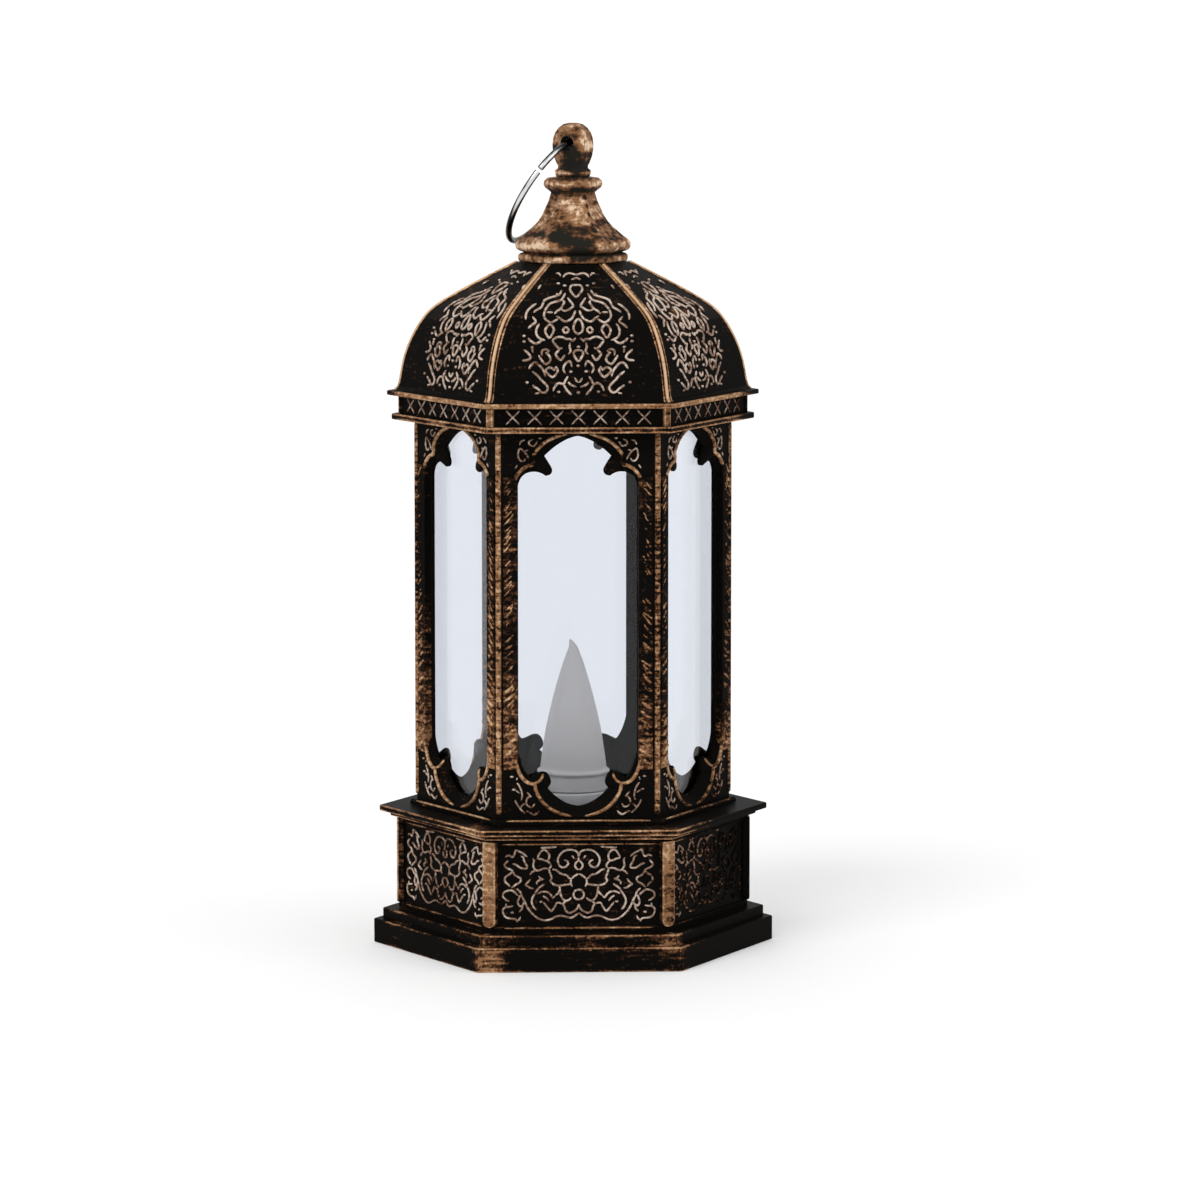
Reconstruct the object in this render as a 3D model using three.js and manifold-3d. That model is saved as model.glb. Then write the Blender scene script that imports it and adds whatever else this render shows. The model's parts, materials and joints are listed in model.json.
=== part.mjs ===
// A small hexagonal lantern night light: a moulded plinth that holds the battery and switch,
// a window cage with six clear panes, a ribbed dome roof, a spire with a hanging ring,
// and a frosted flame lens over a light-emitting diode.
// Millimetres, +Z up, the middle of the foot's underside at the origin, one flat side towards -Y.

import * as THREE from 'three';
import { mergeVertices } from 'three/addons/utils/BufferGeometryUtils.js';
import Module from 'manifold-3d';

const wasm = await Module();
wasm.setup();

// Fits
const jointGap = 0.1;          // between mouldings that stack on each other
const seatGap = 0.25;          // between a loose piece and its seat
const runningGap = 0.3;        // round a piece that moves
const pinGap = 0.12;           // round a screw or a peg in its hole

// Plinth: every radius is measured to a corner of the hexagon
const footRadius = 33;         // 66 mm across the corners
const footHeight = 4;
const stepSetback = 1.5;
const stepHeight = 1.8;
const plinthSetback = 4.2;     // the panel faces, inside the foot
const plinthHeight = 15.3;
const plinthWall = 1.8;
const cornerStripWidth = 2.2;
const cornerStripProud = 0.5;
const panelDepth = 0.4;
const panelSideMargin = 2.1;
const panelEndMargin = 0.9;
const coveReach = 1.4;
const coveHeight = 0.85;
const ledgeReach = 3.2;        // past the panel faces' corner
const ledgeThickness = 1;
const deckThickness = 2;

// Base plate with the battery pocket, closing the plinth from below
const plateRecess = 1.2;
const plateThickness = 1.5;
const footWall = 2.4;
const bossRadius = 2.6;
const bossInset = 5.1;         // from the plinth's inner corner to the middle of a boss
const screwRadius = 0.95;
const screwHeadRadius = 1.9;
const screwHeadHeight = 0.9;
const plateScrewLength = 9;
const cellRadius = 10;
const cellHeight = 3.2;
const pocketWall = 1.5;
const pocketRoof = 1.2;
const contactSpace = 1;
const capThickness = 1.4;
const capRimHeight = 0.9;
const capRimWidth = 1.3;
const lugReach = 1.3;
const lugHeight = 0.65;
const lugAngle = THREE.MathUtils.degToRad(26);
const capTurn = THREE.MathUtils.degToRad(60);
const coinSlot = { length: 14, width: 2, depth: 0.7 };
const contactLeaf = 0.3;

// Slide switch behind the battery pocket
const switchBody = { length: 9, width: 4, height: 4 };
const switchOffset = 3.4;      // from the pocket's outer wall to the switch's middle
const sliderBlock = { length: 3, width: 2.2, height: 1.2 };
const knob = { length: 1.8, width: 1.6, tip: 0.4 };
const switchTravel = 2.5;

// Circuit board, diode and wires
const board = { length: 18, width: 13, thickness: 1.2 };
const ledRadius = 2.5;
const ledFlangeRadius = 2.9;
const ledFlangeHeight = 1;
const ledBodyHeight = 6.1;
const ledBaseBelowDeck = 3.9;
const leadThickness = 0.5;
const leadSpacing = 2.54;
const wireRadius = 0.45;
const wireSpacing = 3;

// Candle sleeve and flame lens
const sleeveRadius = 6.3;
const sleeveHeight = 2.35;
const sleeveSpigotRadius = 5.7;
const sleeveSpigotDepth = 3.4;
const lensSpigotRadius = 4.5;
const lensSpigotDepth = 2;
const lensWall = 1;
const flameRadius = 5.6;
const flameHeight = 21.4;
const lensCollarHeight = 3.3;
const lensLipReach = 0.4;
const lensLipHeight = 0.45;

// Window cage
const cageSetback = 3.05;      // inside the plinth's panel faces
const cageHeight = 63.55;
const cageWall = 1.6;
const cageCollarHeight = 2;    // the part that the cornice slips over
const cagePegRadius = 0.6;     // one under each corner, down into the deck
const cagePegDepth = 1.5;
const baseRailReach = 1.15;
const baseRailHeight = 0.9;
const topRailReach = 0.85;
const topRailHeight = 0.7;
const beadRadius = 0.7;
const beadInset = 0.35;
const postWidth = 3.27;        // from a corner to the window opening
const windowTopMargin = 0.75;
const windowBottomMargin = 2.85;
const archRise = 8;
const bowlDrop = 8.6;
const revealWidth = 0.7;       // the bevel between the opening and its ridge, at the sides
const ridgeWidth = 0.85;
const ridgeProud = 0.4;
const paneThickness = 0.8;

// Roof: cornice and dome in one moulding
const lowerFlangeReach = 4;    // past the cage's corner
const lowerFlangeThickness = 1;
const friezeReach = 2.65;
const friezeHeight = 3;
const friezeStripWidth = 1.2;
const friezeStripProud = 0.25;
const eaveReach = 4.75;
const eaveThickness = 0.8;
const domeHeight = 20.9;
const domeReach = 3.25;
const roofWall = 1.8;
const crownThickness = 1.8;
const ribWidth = 1.8;
const ribProud = 0.25;

// Spire and its screw
const spireHeight = 22.5;
const spireBaseRadius = 9.1;
const spireScrewLength = 7;

// Hanging ring
const ringDiameter = 19.3;     // across the middle of the wire
const ringWire = 1.06;
const ringSplit = 0.7;
const ringSplitAngle = THREE.MathUtils.degToRad(62);
const ringTurn = THREE.MathUtils.degToRad(23.7);   // its hole's front end, turned to the left
const ringLean = THREE.MathUtils.degToRad(31.7);   // from hanging straight down
const ringHoleBelowTop = 3.2;

// Heights that follow from the sizes above
const stepZ = footHeight;
const plinthZ = stepZ + stepHeight;
const coveZ = plinthZ + plinthHeight;
const ledgeZ = coveZ + coveHeight;
const deckZ = ledgeZ + ledgeThickness;
const cageZ = deckZ + jointGap;
const cageTopZ = cageZ + cageHeight;
const corniceZ = cageTopZ + jointGap;
const friezeZ = corniceZ + lowerFlangeThickness;
const eaveZ = friezeZ + friezeHeight;
const domeZ = eaveZ + eaveThickness;
const crownZ = domeZ + domeHeight;
const spireZ = crownZ + jointGap;
const spireTopZ = spireZ + spireHeight;

// Radii that follow from the sizes above
const sixth = Math.PI / 3;
const flatShare = Math.cos(sixth / 2);   // a hexagon's middle of a side, as a share of its corner radius
const plinthRadius = footRadius - plinthSetback;
const ledgeRadius = plinthRadius + ledgeReach;
const cageRadius = plinthRadius - cageSetback;
const cageFace = cageRadius * flatShare;
const cageInside = cageFace - cageWall;
const domeRadius = cageRadius + domeReach;
const boreInside = (cageRadius * flatShare + seatGap) / flatShare;

// Materials
const finish = (color, roughness, metalness) => new THREE.MeshStandardMaterial({ color, roughness, metalness });
const bronze = finish(0x2b1f17, 0.5, 0.35);
const blackPlastic = finish(0x17171a, 0.55, 0);
const clearSheet = new THREE.MeshStandardMaterial({
  color: 0xe6e9f2,
  roughness: 0.05,
  metalness: 0,
  transparent: true,
  opacity: 0.25,
});
const frosted = finish(0xdedee0, 0.45, 0);
const steel = finish(0xb9bbbe, 0.25, 1);
const brass = finish(0xc6a35a, 0.35, 1);
const boardGreen = finish(0x1f5d3a, 0.5, 0);
const redWire = finish(0xb02020, 0.45, 0);
const blackWire = finish(0x151515, 0.45, 0);
const diodeEpoxy = finish(0xf2e6c4, 0.2, 0);

// Geometry helpers

// A closed solid for cutting and joining, from any closed three.js geometry.
function solid(geometry) {
  const bare = new THREE.BufferGeometry();
  bare.setAttribute('position', geometry.getAttribute('position'));
  bare.setIndex(geometry.getIndex());
  const merged = mergeVertices(bare, 1e-4);
  return new wasm.Manifold(new wasm.Mesh({
    numProp: 3,
    vertProperties: new Float32Array(merged.getAttribute('position').array),
    triVerts: new Uint32Array(merged.getIndex().array),
  }));
}

// The three.js geometry of a solid.
function geometryOf(body) {
  const { vertProperties, triVerts } = body.getMesh();
  const geometry = new THREE.BufferGeometry();
  geometry.setAttribute('position', new THREE.Float32BufferAttribute(vertProperties, 3));
  geometry.setIndex(new THREE.Uint32BufferAttribute(triVerts, 1));
  geometry.computeVertexNormals();
  return geometry;
}

// A solid through stacked outlines: each section is a list of Vector3, all of the same length,
// running anticlockwise as seen from the last section's side.
function loft(sections) {
  const count = sections[0].length;
  const positions = sections.flat().flatMap((point) => [point.x, point.y, point.z]);
  const indices = [];
  for (let level = 0; level < sections.length - 1; level += 1) {
    for (let i = 0; i < count; i += 1) {
      const a = level * count + i;
      const b = level * count + (i + 1) % count;
      indices.push(a, b, b + count, a, b + count, a + count);
    }
  }
  const cap = (section, offset, facesEnd) => {
    const origin = section[0];
    const normal = new THREE.Vector3();
    section.forEach((point, i) => {
      const here = point.clone().sub(origin);
      const next = section[(i + 1) % count].clone().sub(origin);
      normal.add(here.cross(next));
    });
    normal.normalize();
    const across = new THREE.Vector3(normal.z, normal.x, normal.y).cross(normal).normalize();
    const up = normal.clone().cross(across);
    const flat = section.map((point) => new THREE.Vector2(point.dot(across), point.dot(up)));
    for (const [i, j, k] of THREE.ShapeUtils.triangulateShape(flat, [])) {
      const first = flat[j].clone().sub(flat[i]);
      const second = flat[k].clone().sub(flat[i]);
      const turn = first.cross(second) > 0;
      const corner = turn === facesEnd ? [i, j, k] : [i, k, j];
      indices.push(...corner.map((vertex) => vertex + offset));
    }
  };
  cap(sections[0], 0, false);
  cap(sections.at(-1), (sections.length - 1) * count, true);
  const geometry = new THREE.BufferGeometry();
  geometry.setAttribute('position', new THREE.Float32BufferAttribute(positions, 3));
  geometry.setIndex(indices);
  return solid(geometry);
}

const atHeight = (outline, z) => outline.map(({ x, y }) => new THREE.Vector3(x, y, z));
const prism = (outline, fromZ, toZ) => loft([atHeight(outline, fromZ), atHeight(outline, toZ)]);
const polar = (radius, angle) => new THREE.Vector2(radius * Math.cos(angle), radius * Math.sin(angle));

function hexagon(radius) {
  return Array.from({ length: 6 }, (_, k) => polar(radius, k * sixth));
}

// A hexagon with a flat strip standing proud across each corner.
function strippedHexagon(radius, stripWidth, stripProud) {
  const half = stripWidth / 2;
  const foot = radius - half * Math.tan(sixth / 2);
  return Array.from({ length: 6 }, (_, k) => {
    const turned = (radial, tangent) => new THREE.Vector2(radial, tangent).rotateAround(new THREE.Vector2(), k * sixth);
    return [
      turned(foot, -half),
      turned(foot + stripProud, -half),
      turned(foot + stripProud, half),
      turned(foot, half),
    ];
  }).flat();
}

// An outline between a hexagon (roundness 0) and a circle (roundness 1).
function softHexagon(radius, roundness, perSide = 4) {
  const count = 6 * perSide;
  return Array.from({ length: count }, (_, i) => {
    const angle = (i / count) * 2 * Math.PI;
    const fromMiddle = (angle % sixth) - sixth / 2;
    const flat = flatShare / Math.cos(fromMiddle);
    return polar(radius * THREE.MathUtils.lerp(flat, (1 + flatShare) / 2, roundness), angle);
  });
}

function box(sizeX, sizeY, sizeZ, x, y, z) {
  return solid(new THREE.BoxGeometry(sizeX, sizeY, sizeZ).translate(x, y, z + sizeZ / 2));
}

function cylinder(radius, fromZ, toZ, x = 0, y = 0, sides = 32) {
  const geometry = new THREE.CylinderGeometry(radius, radius, toZ - fromZ, sides).rotateX(Math.PI / 2);
  return solid(geometry.translate(x, y, (fromZ + toZ) / 2));
}

// A turned piece: the profile is a list of [radius, z], from the axis or closed on itself.
function turned(profile, sides = 32) {
  const points = profile.map(([radius, z]) => new THREE.Vector2(radius, z));
  return solid(new THREE.LatheGeometry(points, sides).rotateX(Math.PI / 2));
}

const joined = (bodies) => bodies.reduce((whole, body) => whole.add(body));

// A copy for each side of the hexagon, made for the side that faces -Y.
function onEachSide(body) {
  return Array.from({ length: 6 }, (_, k) => body.rotate([0, 0, k * 60]));
}

// The window: its opening at the back of the cage wall and its ridge line at the front.
// Both are half outlines drawn as quadratic curves, [control, end] in shares of the half width
// across and of the arch's rise or the bowl's drop up or down, and they run curve by curve alike.
const archOpening = {
  start: [0, 0],
  curves: [
    [[0.27, -0.05], [0.56, -0.40]],      // pointed arch
    [[0.47, -0.56], [0.43, -0.66]],      // down to the cusp
    [[0.41, -0.79], [0.54, -0.80]],      // under the cusp
    [[0.64, -0.70], [0.78, -0.72]],      // shoulder
    [[0.96, -0.75], [1, -1]],
  ],
};
const archRidge = {
  start: [0, 0.065],
  curves: [
    [[0.47, 0.065], [0.67, -0.32]],
    [[0.70, -0.38], [0.68, -0.43]],
    [[0.66, -0.46], [0.70, -0.50]],
    [[0.80, -0.52], [0.87, -0.62]],
    [[0.97, -0.74], [1, -0.96]],
  ],
};
const bowlOpening = {
  start: [0, 0],
  curves: [
    [[0.28, 0.03], [0.515, 0.345]],      // bowl
    [[0.42, 0.43], [0.47, 0.54]],        // round the cusp
    [[0.50, 0.64], [0.58, 0.655]],
    [[0.70, 0.65], [0.80, 0.53]],        // notch
    [[0.92, 0.63], [1, 1]],
  ],
};
const bowlRidge = {
  start: [0, -0.185],
  curves: [
    [[0.52, -0.15], [0.665, 0.33]],
    [[0.68, 0.40], [0.685, 0.45]],
    [[0.70, 0.50], [0.72, 0.53]],
    [[0.76, 0.58], [0.80, 0.61]],
    [[0.98, 0.76], [1, 1.03]],
  ],
};
const stepsPerCurve = 4;

// The sampled half outline of one end, from the middle to the side.
function halfOutline({ start, curves }, halfWidth, rise) {
  const scaled = ([across, up]) => new THREE.Vector2(across * halfWidth, up * rise);
  let from = scaled(start);
  const points = [from];
  for (const [control, end] of curves) {
    const curve = new THREE.QuadraticBezierCurve(from, scaled(control), scaled(end));
    points.push(...curve.getPoints(stepsPerCurve).slice(1));
    from = scaled(end);
  }
  return points;
}

// The whole outline round a window, anticlockwise as seen from outside the -Y side.
function windowOutline(arch, bowl, halfWidth) {
  const top = cageTopZ - windowTopMargin;
  const bottom = cageZ + windowBottomMargin;
  const above = halfOutline(arch, halfWidth, archRise).map(({ x, y }) => new THREE.Vector2(x, top + y));
  const below = halfOutline(bowl, halfWidth, bowlDrop).map(({ x, y }) => new THREE.Vector2(x, bottom + y));
  const mirrored = (points) => points.map(({ x, y }) => new THREE.Vector2(-x, y));
  return [
    ...below,
    ...above.slice().reverse(),
    ...mirrored(above).slice(1),
    ...mirrored(below).slice(1).reverse(),
  ];
}

// Moves each point of a closed outline outwards.
function grown(outline, distance) {
  const count = outline.length;
  return outline.map((point, i) => {
    const before = outline[(i + count - 1) % count];
    const after = outline[(i + 1) % count];
    const along = after.clone().sub(before).normalize();
    return new THREE.Vector2(point.x + along.y * distance, point.y - along.x * distance);
  });
}

const onFace = (outline, apothem) => outline.map(({ x, y }) => new THREE.Vector3(x, -apothem, y));

const windowHalfWidth = cageRadius / 2 - postWidth;
const opening = windowOutline(archOpening, bowlOpening, windowHalfWidth);
const ridgeLine = windowOutline(archRidge, bowlRidge, windowHalfWidth + revealWidth);

// Pieces

const lantern = new THREE.Group();
lantern.name = 'lantern';

function piece(name, body, material, parent = lantern) {
  const mesh = new THREE.Mesh(geometryOf(body), material);
  mesh.name = name;
  parent.add(mesh);
  return mesh;
}

// Places shared by the plinth and the pieces that it holds
const plateZ = plateRecess;
const plateTopZ = plateZ + plateThickness;
const bossZ = plateTopZ + jointGap;
const plinthInside = plinthRadius - plinthWall / flatShare;
const footInside = footRadius - footWall / flatShare;
const bosses = [1, 3, 5].map((k) => polar(plinthInside - bossInset, k * sixth));
const screwHoleRadius = screwRadius + pinGap;
const screwHeadZ = plateZ + jointGap;
const screwSeatZ = screwHeadZ + screwHeadHeight;
const sleeveHoleRadius = sleeveSpigotRadius + seatGap;
const pegs = hexagon((cageRadius + cageInside / flatShare) / 2);

function makePlinth() {
  const underDeck = deckZ - deckThickness;
  const outside = joined([
    prism(hexagon(footRadius), 0, stepZ),
    prism(hexagon(footRadius - stepSetback), stepZ, plinthZ),
    prism(strippedHexagon(plinthRadius, cornerStripWidth, cornerStripProud), plinthZ, coveZ),
    prism(hexagon(plinthRadius + coveReach), coveZ, ledgeZ),
    prism(hexagon(ledgeRadius), ledgeZ, deckZ),
  ]);
  const panelWidth = plinthRadius - 2 * panelSideMargin;
  const panel = box(
    panelWidth,
    2 * panelDepth,
    plinthHeight - 2 * panelEndMargin,
    0,
    -plinthRadius * flatShare,
    plinthZ + panelEndMargin,
  );
  const hollow = joined([
    prism(hexagon(footInside), -1, bossZ),
    prism(hexagon(plinthInside), 0, underDeck),
  ]);
  const shell = onEachSide(panel).reduce((whole, cut) => whole.subtract(cut), outside.subtract(hollow));
  const pillars = bosses.map(({ x, y }) => cylinder(bossRadius, bossZ, underDeck + jointGap, x, y, 20));
  const pilots = bosses.map(({ x, y }) => (
    cylinder(screwHoleRadius, bossZ - 1, screwSeatZ + plateScrewLength + seatGap, x, y, 12)
  ));
  const pegHoles = pegs.map(({ x, y }) => cylinder(cagePegRadius + pinGap, underDeck - 1, deckZ + 1, x, y, 12));
  const sleeveHole = cylinder(sleeveHoleRadius, underDeck - 1, deckZ + 1, 0, 0, 40);
  const holes = [...pilots, ...pegHoles, sleeveHole];
  return holes.reduce((whole, hole) => whole.subtract(hole), joined([shell, ...pillars]));
}
piece('plinth', makePlinth(), bronze);

// Base plate, battery cap and cell, stacked from the recess upwards
const capZ = plateZ + jointGap;
const capTopZ = capZ + capThickness;
const capRimInside = cellRadius + runningGap;
const capRadius = capRimInside + capRimWidth;
const lugZ = plateTopZ + runningGap / 2;
const lugTopZ = lugZ + lugHeight;
const cellZ = capTopZ + seatGap;
const cellTopZ = cellZ + cellHeight;
const lugRoomTop = capTopZ + capRimHeight + runningGap;
const pocketInside = cellRadius + contactLeaf + 2 * runningGap;
const pocketTopZ = cellTopZ + contactSpace;
const pocketOutside = capRadius + lugReach + runningGap + pocketWall;
const pocketRoofZ = pocketTopZ + pocketRoof;
const switchY = pocketOutside + switchOffset;
const knobStartX = -switchTravel / 2;

// A wedge of a disc, from the axis outwards, centred on an angle.
function wedge(radius, middle, spread, fromZ, toZ) {
  const arc = Array.from({ length: 9 }, (_, i) => polar(radius, middle + spread * (i / 8 - 0.5)));
  return prism([new THREE.Vector2(), ...arc], fromZ, toZ);
}

function makeBasePlate() {
  const plate = prism(hexagon(footInside - seatGap / flatShare), plateZ, plateTopZ);
  const drum = cylinder(pocketOutside, plateTopZ - jointGap, pocketRoofZ, 0, 0, 48);
  const notches = [0, Math.PI].map((side) => (
    wedge(capRadius + lugReach + runningGap, side + capTurn, lugAngle + 0.12, plateZ - 1, plateTopZ + 1)
  ));
  const screwHoles = bosses.flatMap(({ x, y }) => [
    cylinder(screwHoleRadius, plateZ - 1, plateTopZ + 1, x, y, 12),
    cylinder(screwHeadRadius + seatGap, plateZ - 1, screwSeatZ + jointGap / 2, x, y, 20),
  ]);
  const slotLength = knob.length + switchTravel + 2 * runningGap;
  const cuts = [
    cylinder(capRadius + runningGap, plateZ - 1, plateTopZ, 0, 0, 48),
    cylinder(pocketOutside - pocketWall, plateTopZ, lugRoomTop, 0, 0, 48),
    cylinder(pocketInside, lugRoomTop - 1, pocketTopZ, 0, 0, 48),
    box(slotLength, knob.width + 2 * runningGap, plateThickness + 2, 0, switchY, plateZ - 1),
    ...notches,
    ...screwHoles,
  ];
  return cuts.reduce((whole, cut) => whole.subtract(cut), plate.add(drum));
}
piece('base_plate', makeBasePlate(), blackPlastic);

function makeBatteryCap() {
  const disc = cylinder(capRadius, capZ, capTopZ, 0, 0, 48);
  const rim = cylinder(capRadius, capTopZ - jointGap, capTopZ + capRimHeight, 0, 0, 48)
    .subtract(cylinder(capRimInside, capTopZ - 1, capTopZ + capRimHeight + 1, 0, 0, 48));
  const lugs = [0, Math.PI].map((side) => (
    wedge(capRadius + lugReach, side, lugAngle, lugZ, lugTopZ)
      .subtract(cylinder(capRimInside + capRimWidth / 2, lugZ - 1, lugTopZ + 1, 0, 0, 48))
  ));
  const slot = box(coinSlot.length, coinSlot.width, coinSlot.depth + 1, 0, 0, capZ - 1);
  return joined([disc, rim, ...lugs]).subtract(slot);
}
piece('battery_cap', makeBatteryCap(), blackPlastic);

function makeCell() {
  const negativeInset = 1.2;
  const chamfer = 0.35;
  return turned([
    [0, cellZ],
    [cellRadius - chamfer, cellZ],
    [cellRadius, cellZ + chamfer],
    [cellRadius, cellTopZ - chamfer],
    [cellRadius - negativeInset, cellTopZ],
    [0, cellTopZ],
  ]);
}
piece('coin_cell', makeCell(), steel);

// A bent strip of constant thickness: the path is a list of [across, up].
function bentStrip(path, thickness, width) {
  const line = path.map(([across, up]) => new THREE.Vector2(across, up));
  const normals = line.map((point, i) => {
    const before = line[Math.max(i - 1, 0)];
    const after = line[Math.min(i + 1, line.length - 1)];
    const along = after.clone().sub(before).normalize();
    return new THREE.Vector2(-along.y, along.x).multiplyScalar(thickness / 2);
  });
  const outline = [
    ...line.map((point, i) => point.clone().sub(normals[i])),
    ...line.map((point, i) => point.clone().add(normals[i])).reverse(),
  ];
  return loft([width / 2, -width / 2].map((y) => outline.map((point) => new THREE.Vector3(point.x, y, point.y))));
}

function makeNegativeContact() {
  const top = pocketTopZ - jointGap - contactLeaf / 2;
  const low = cellTopZ + jointGap + contactLeaf / 2;
  const path = [[-5, top], [-2.6, top], [-1.2, low], [1.2, low], [2.6, top], [5, top]];
  return bentStrip(path, contactLeaf, 3.2);
}
piece('negative_contact', makeNegativeContact(), brass);

function makePositiveContact() {
  const across = cellRadius + runningGap + contactLeaf / 2;
  const path = [[across, lugRoomTop + seatGap], [across, pocketTopZ - seatGap]];
  return bentStrip(path, contactLeaf, 4);
}
piece('positive_contact', makePositiveContact(), brass);

function makePlateScrew({ x, y }) {
  const tip = screwSeatZ + plateScrewLength;
  const head = turned([
    [0, screwHeadZ],
    [screwHeadRadius, screwHeadZ],
    [screwHeadRadius, screwSeatZ - jointGap],
    [screwRadius, screwSeatZ],
    [screwRadius, tip - screwRadius],
    [0, tip],
  ], 16);
  const driverSlot = box(2 * screwHeadRadius - 0.8, 0.5, 0.45 + 1, 0, 0, screwHeadZ - 1);
  const crossSlot = box(0.5, 2 * screwHeadRadius - 0.8, 0.45 + 1, 0, 0, screwHeadZ - 1);
  return head.subtract(driverSlot).subtract(crossSlot).translate([x, y, 0]);
}
bosses.forEach((boss, i) => piece(`plate_screw_${i + 1}`, makePlateScrew(boss), steel));

// Switch body and slider: the slider's knob reaches down through the base plate
const switchZ = plateTopZ + jointGap;
const sliderZ = switchZ + jointGap;

function makeSwitchBody() {
  const shell = box(switchBody.length, switchBody.width, switchBody.height, 0, switchY, switchZ);
  const room = box(
    sliderBlock.length + switchTravel + 2 * runningGap,
    sliderBlock.width + 2 * runningGap,
    sliderBlock.height + jointGap + runningGap + 1,
    0,
    switchY,
    switchZ - 1,
  );
  return shell.subtract(room);
}
piece('switch_body', makeSwitchBody(), steel);

function makeSlider() {
  const block = box(sliderBlock.length, sliderBlock.width, sliderBlock.height, knobStartX, switchY, sliderZ);
  const stem = box(knob.length, knob.width, sliderZ - knob.tip + jointGap, knobStartX, switchY, knob.tip);
  return block.add(stem);
}
piece('switch_slider', makeSlider(), blackPlastic);

// Circuit board on the battery pocket, with the diode standing over it
const boardZ = pocketRoofZ + jointGap;
const boardTopZ = boardZ + board.thickness;
const ledZ = deckZ - ledBaseBelowDeck;
piece('circuit_board', box(board.length, board.width, board.thickness, 0, 0, boardZ), boardGreen);

function makeLed() {
  const flangeTop = ledZ + ledFlangeHeight;
  const domeBase = ledZ + ledBodyHeight;
  const domeSteps = 5;
  const dome = Array.from({ length: domeSteps }, (_, i) => {
    const angle = (i / domeSteps) * (Math.PI / 2);
    return [ledRadius * Math.cos(angle), domeBase + ledRadius * Math.sin(angle)];
  });
  return turned([
    [0, ledZ],
    [ledFlangeRadius, ledZ],
    [ledFlangeRadius, flangeTop],
    [ledRadius, flangeTop],
    ...dome,
    [0, domeBase + ledRadius],
  ], 24);
}
piece('led', makeLed(), diodeEpoxy);

[['led_lead_plus', 1], ['led_lead_minus', -1]].forEach(([name, side]) => {
  const length = ledZ - boardTopZ - 2 * jointGap;
  const lead = box(leadThickness, leadThickness, length, side * leadSpacing / 2, 0, boardTopZ + jointGap);
  piece(name, lead, steel);
});

// Two wires from the switch over to the board
function makeWire(x) {
  const startZ = switchZ + switchBody.height + jointGap;
  const endY = board.width / 2 - 1.5;
  const rise = 2.2;
  const middleY = (switchY + endY) / 2;
  const topZ = Math.max(startZ, boardTopZ) + rise;
  const path = new THREE.CatmullRomCurve3([
    new THREE.Vector3(x, switchY, startZ),
    new THREE.Vector3(x, switchY - 0.3, topZ - 0.8),
    new THREE.Vector3(x, middleY, topZ + 0.6),
    new THREE.Vector3(x, endY + 0.3, topZ - 0.8),
    new THREE.Vector3(x, endY, boardTopZ + jointGap),
  ]);
  const section = new THREE.Shape().absarc(0, 0, wireRadius, 0, 2 * Math.PI);
  return solid(new THREE.ExtrudeGeometry(section, { extrudePath: path, steps: 16, curveSegments: 4 }));
}
piece('wire_red', makeWire(wireSpacing / 2), redWire);
piece('wire_black', makeWire(-wireSpacing / 2), blackWire);

// Candle sleeve in the deck, and the hollow flame lens that plugs into it
const sleeveZ = deckZ + jointGap;
const sleeveTopZ = sleeveZ + sleeveHeight;
const sleeveBore = lensSpigotRadius + seatGap;
const lensZ = sleeveTopZ + seatGap;

function makeSleeve() {
  const bottom = sleeveZ - sleeveSpigotDepth;
  return turned([
    [sleeveBore, bottom],
    [sleeveSpigotRadius, bottom],
    [sleeveSpigotRadius, sleeveZ],
    [sleeveRadius, sleeveZ],
    [sleeveRadius, sleeveTopZ],
    [sleeveBore, sleeveTopZ],
    [sleeveBore, bottom],
  ], 40);
}
piece('candle_sleeve', makeSleeve(), frosted);

// The flame narrows from its base to a point: share of the height against share of the radius.
const flameProfile = [[0, 1], [0.13, 0.955], [0.31, 0.83], [0.47, 0.69], [0.6, 0.56], [0.71, 0.43], [0.82, 0.29], [0.92, 0.145]];

function makeLens() {
  const collarTop = lensZ + lensCollarHeight;
  const lip = flameRadius + lensLipReach;
  const neck = flameRadius - lensLipReach / 2;
  const flame = (radius, height) => flameProfile.map(([up, out]) => [radius * out, collarTop + height * up]);
  const boreTop = flameHeight - 3 * lensWall;
  return turned([
    [lensSpigotRadius - lensWall, lensZ - lensSpigotDepth],
    [lensSpigotRadius, lensZ - lensSpigotDepth],
    [lensSpigotRadius, lensZ],
    [lip, lensZ],
    [lip, lensZ + lensLipHeight],
    [neck, lensZ + 2 * lensLipHeight],
    [neck, collarTop - 3 * lensLipHeight],
    [lip, collarTop - 2 * lensLipHeight],
    [lip, collarTop - lensLipHeight],
    ...flame(flameRadius, flameHeight),
    [0, collarTop + flameHeight],
    [0, collarTop + boreTop],
    ...flame(flameRadius - lensWall, boreTop).reverse(),
    [lensSpigotRadius - lensWall, lensZ],
    [lensSpigotRadius - lensWall, lensZ - lensSpigotDepth],
  ], 32);
}
piece('flame_lens', makeLens(), frosted);

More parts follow.
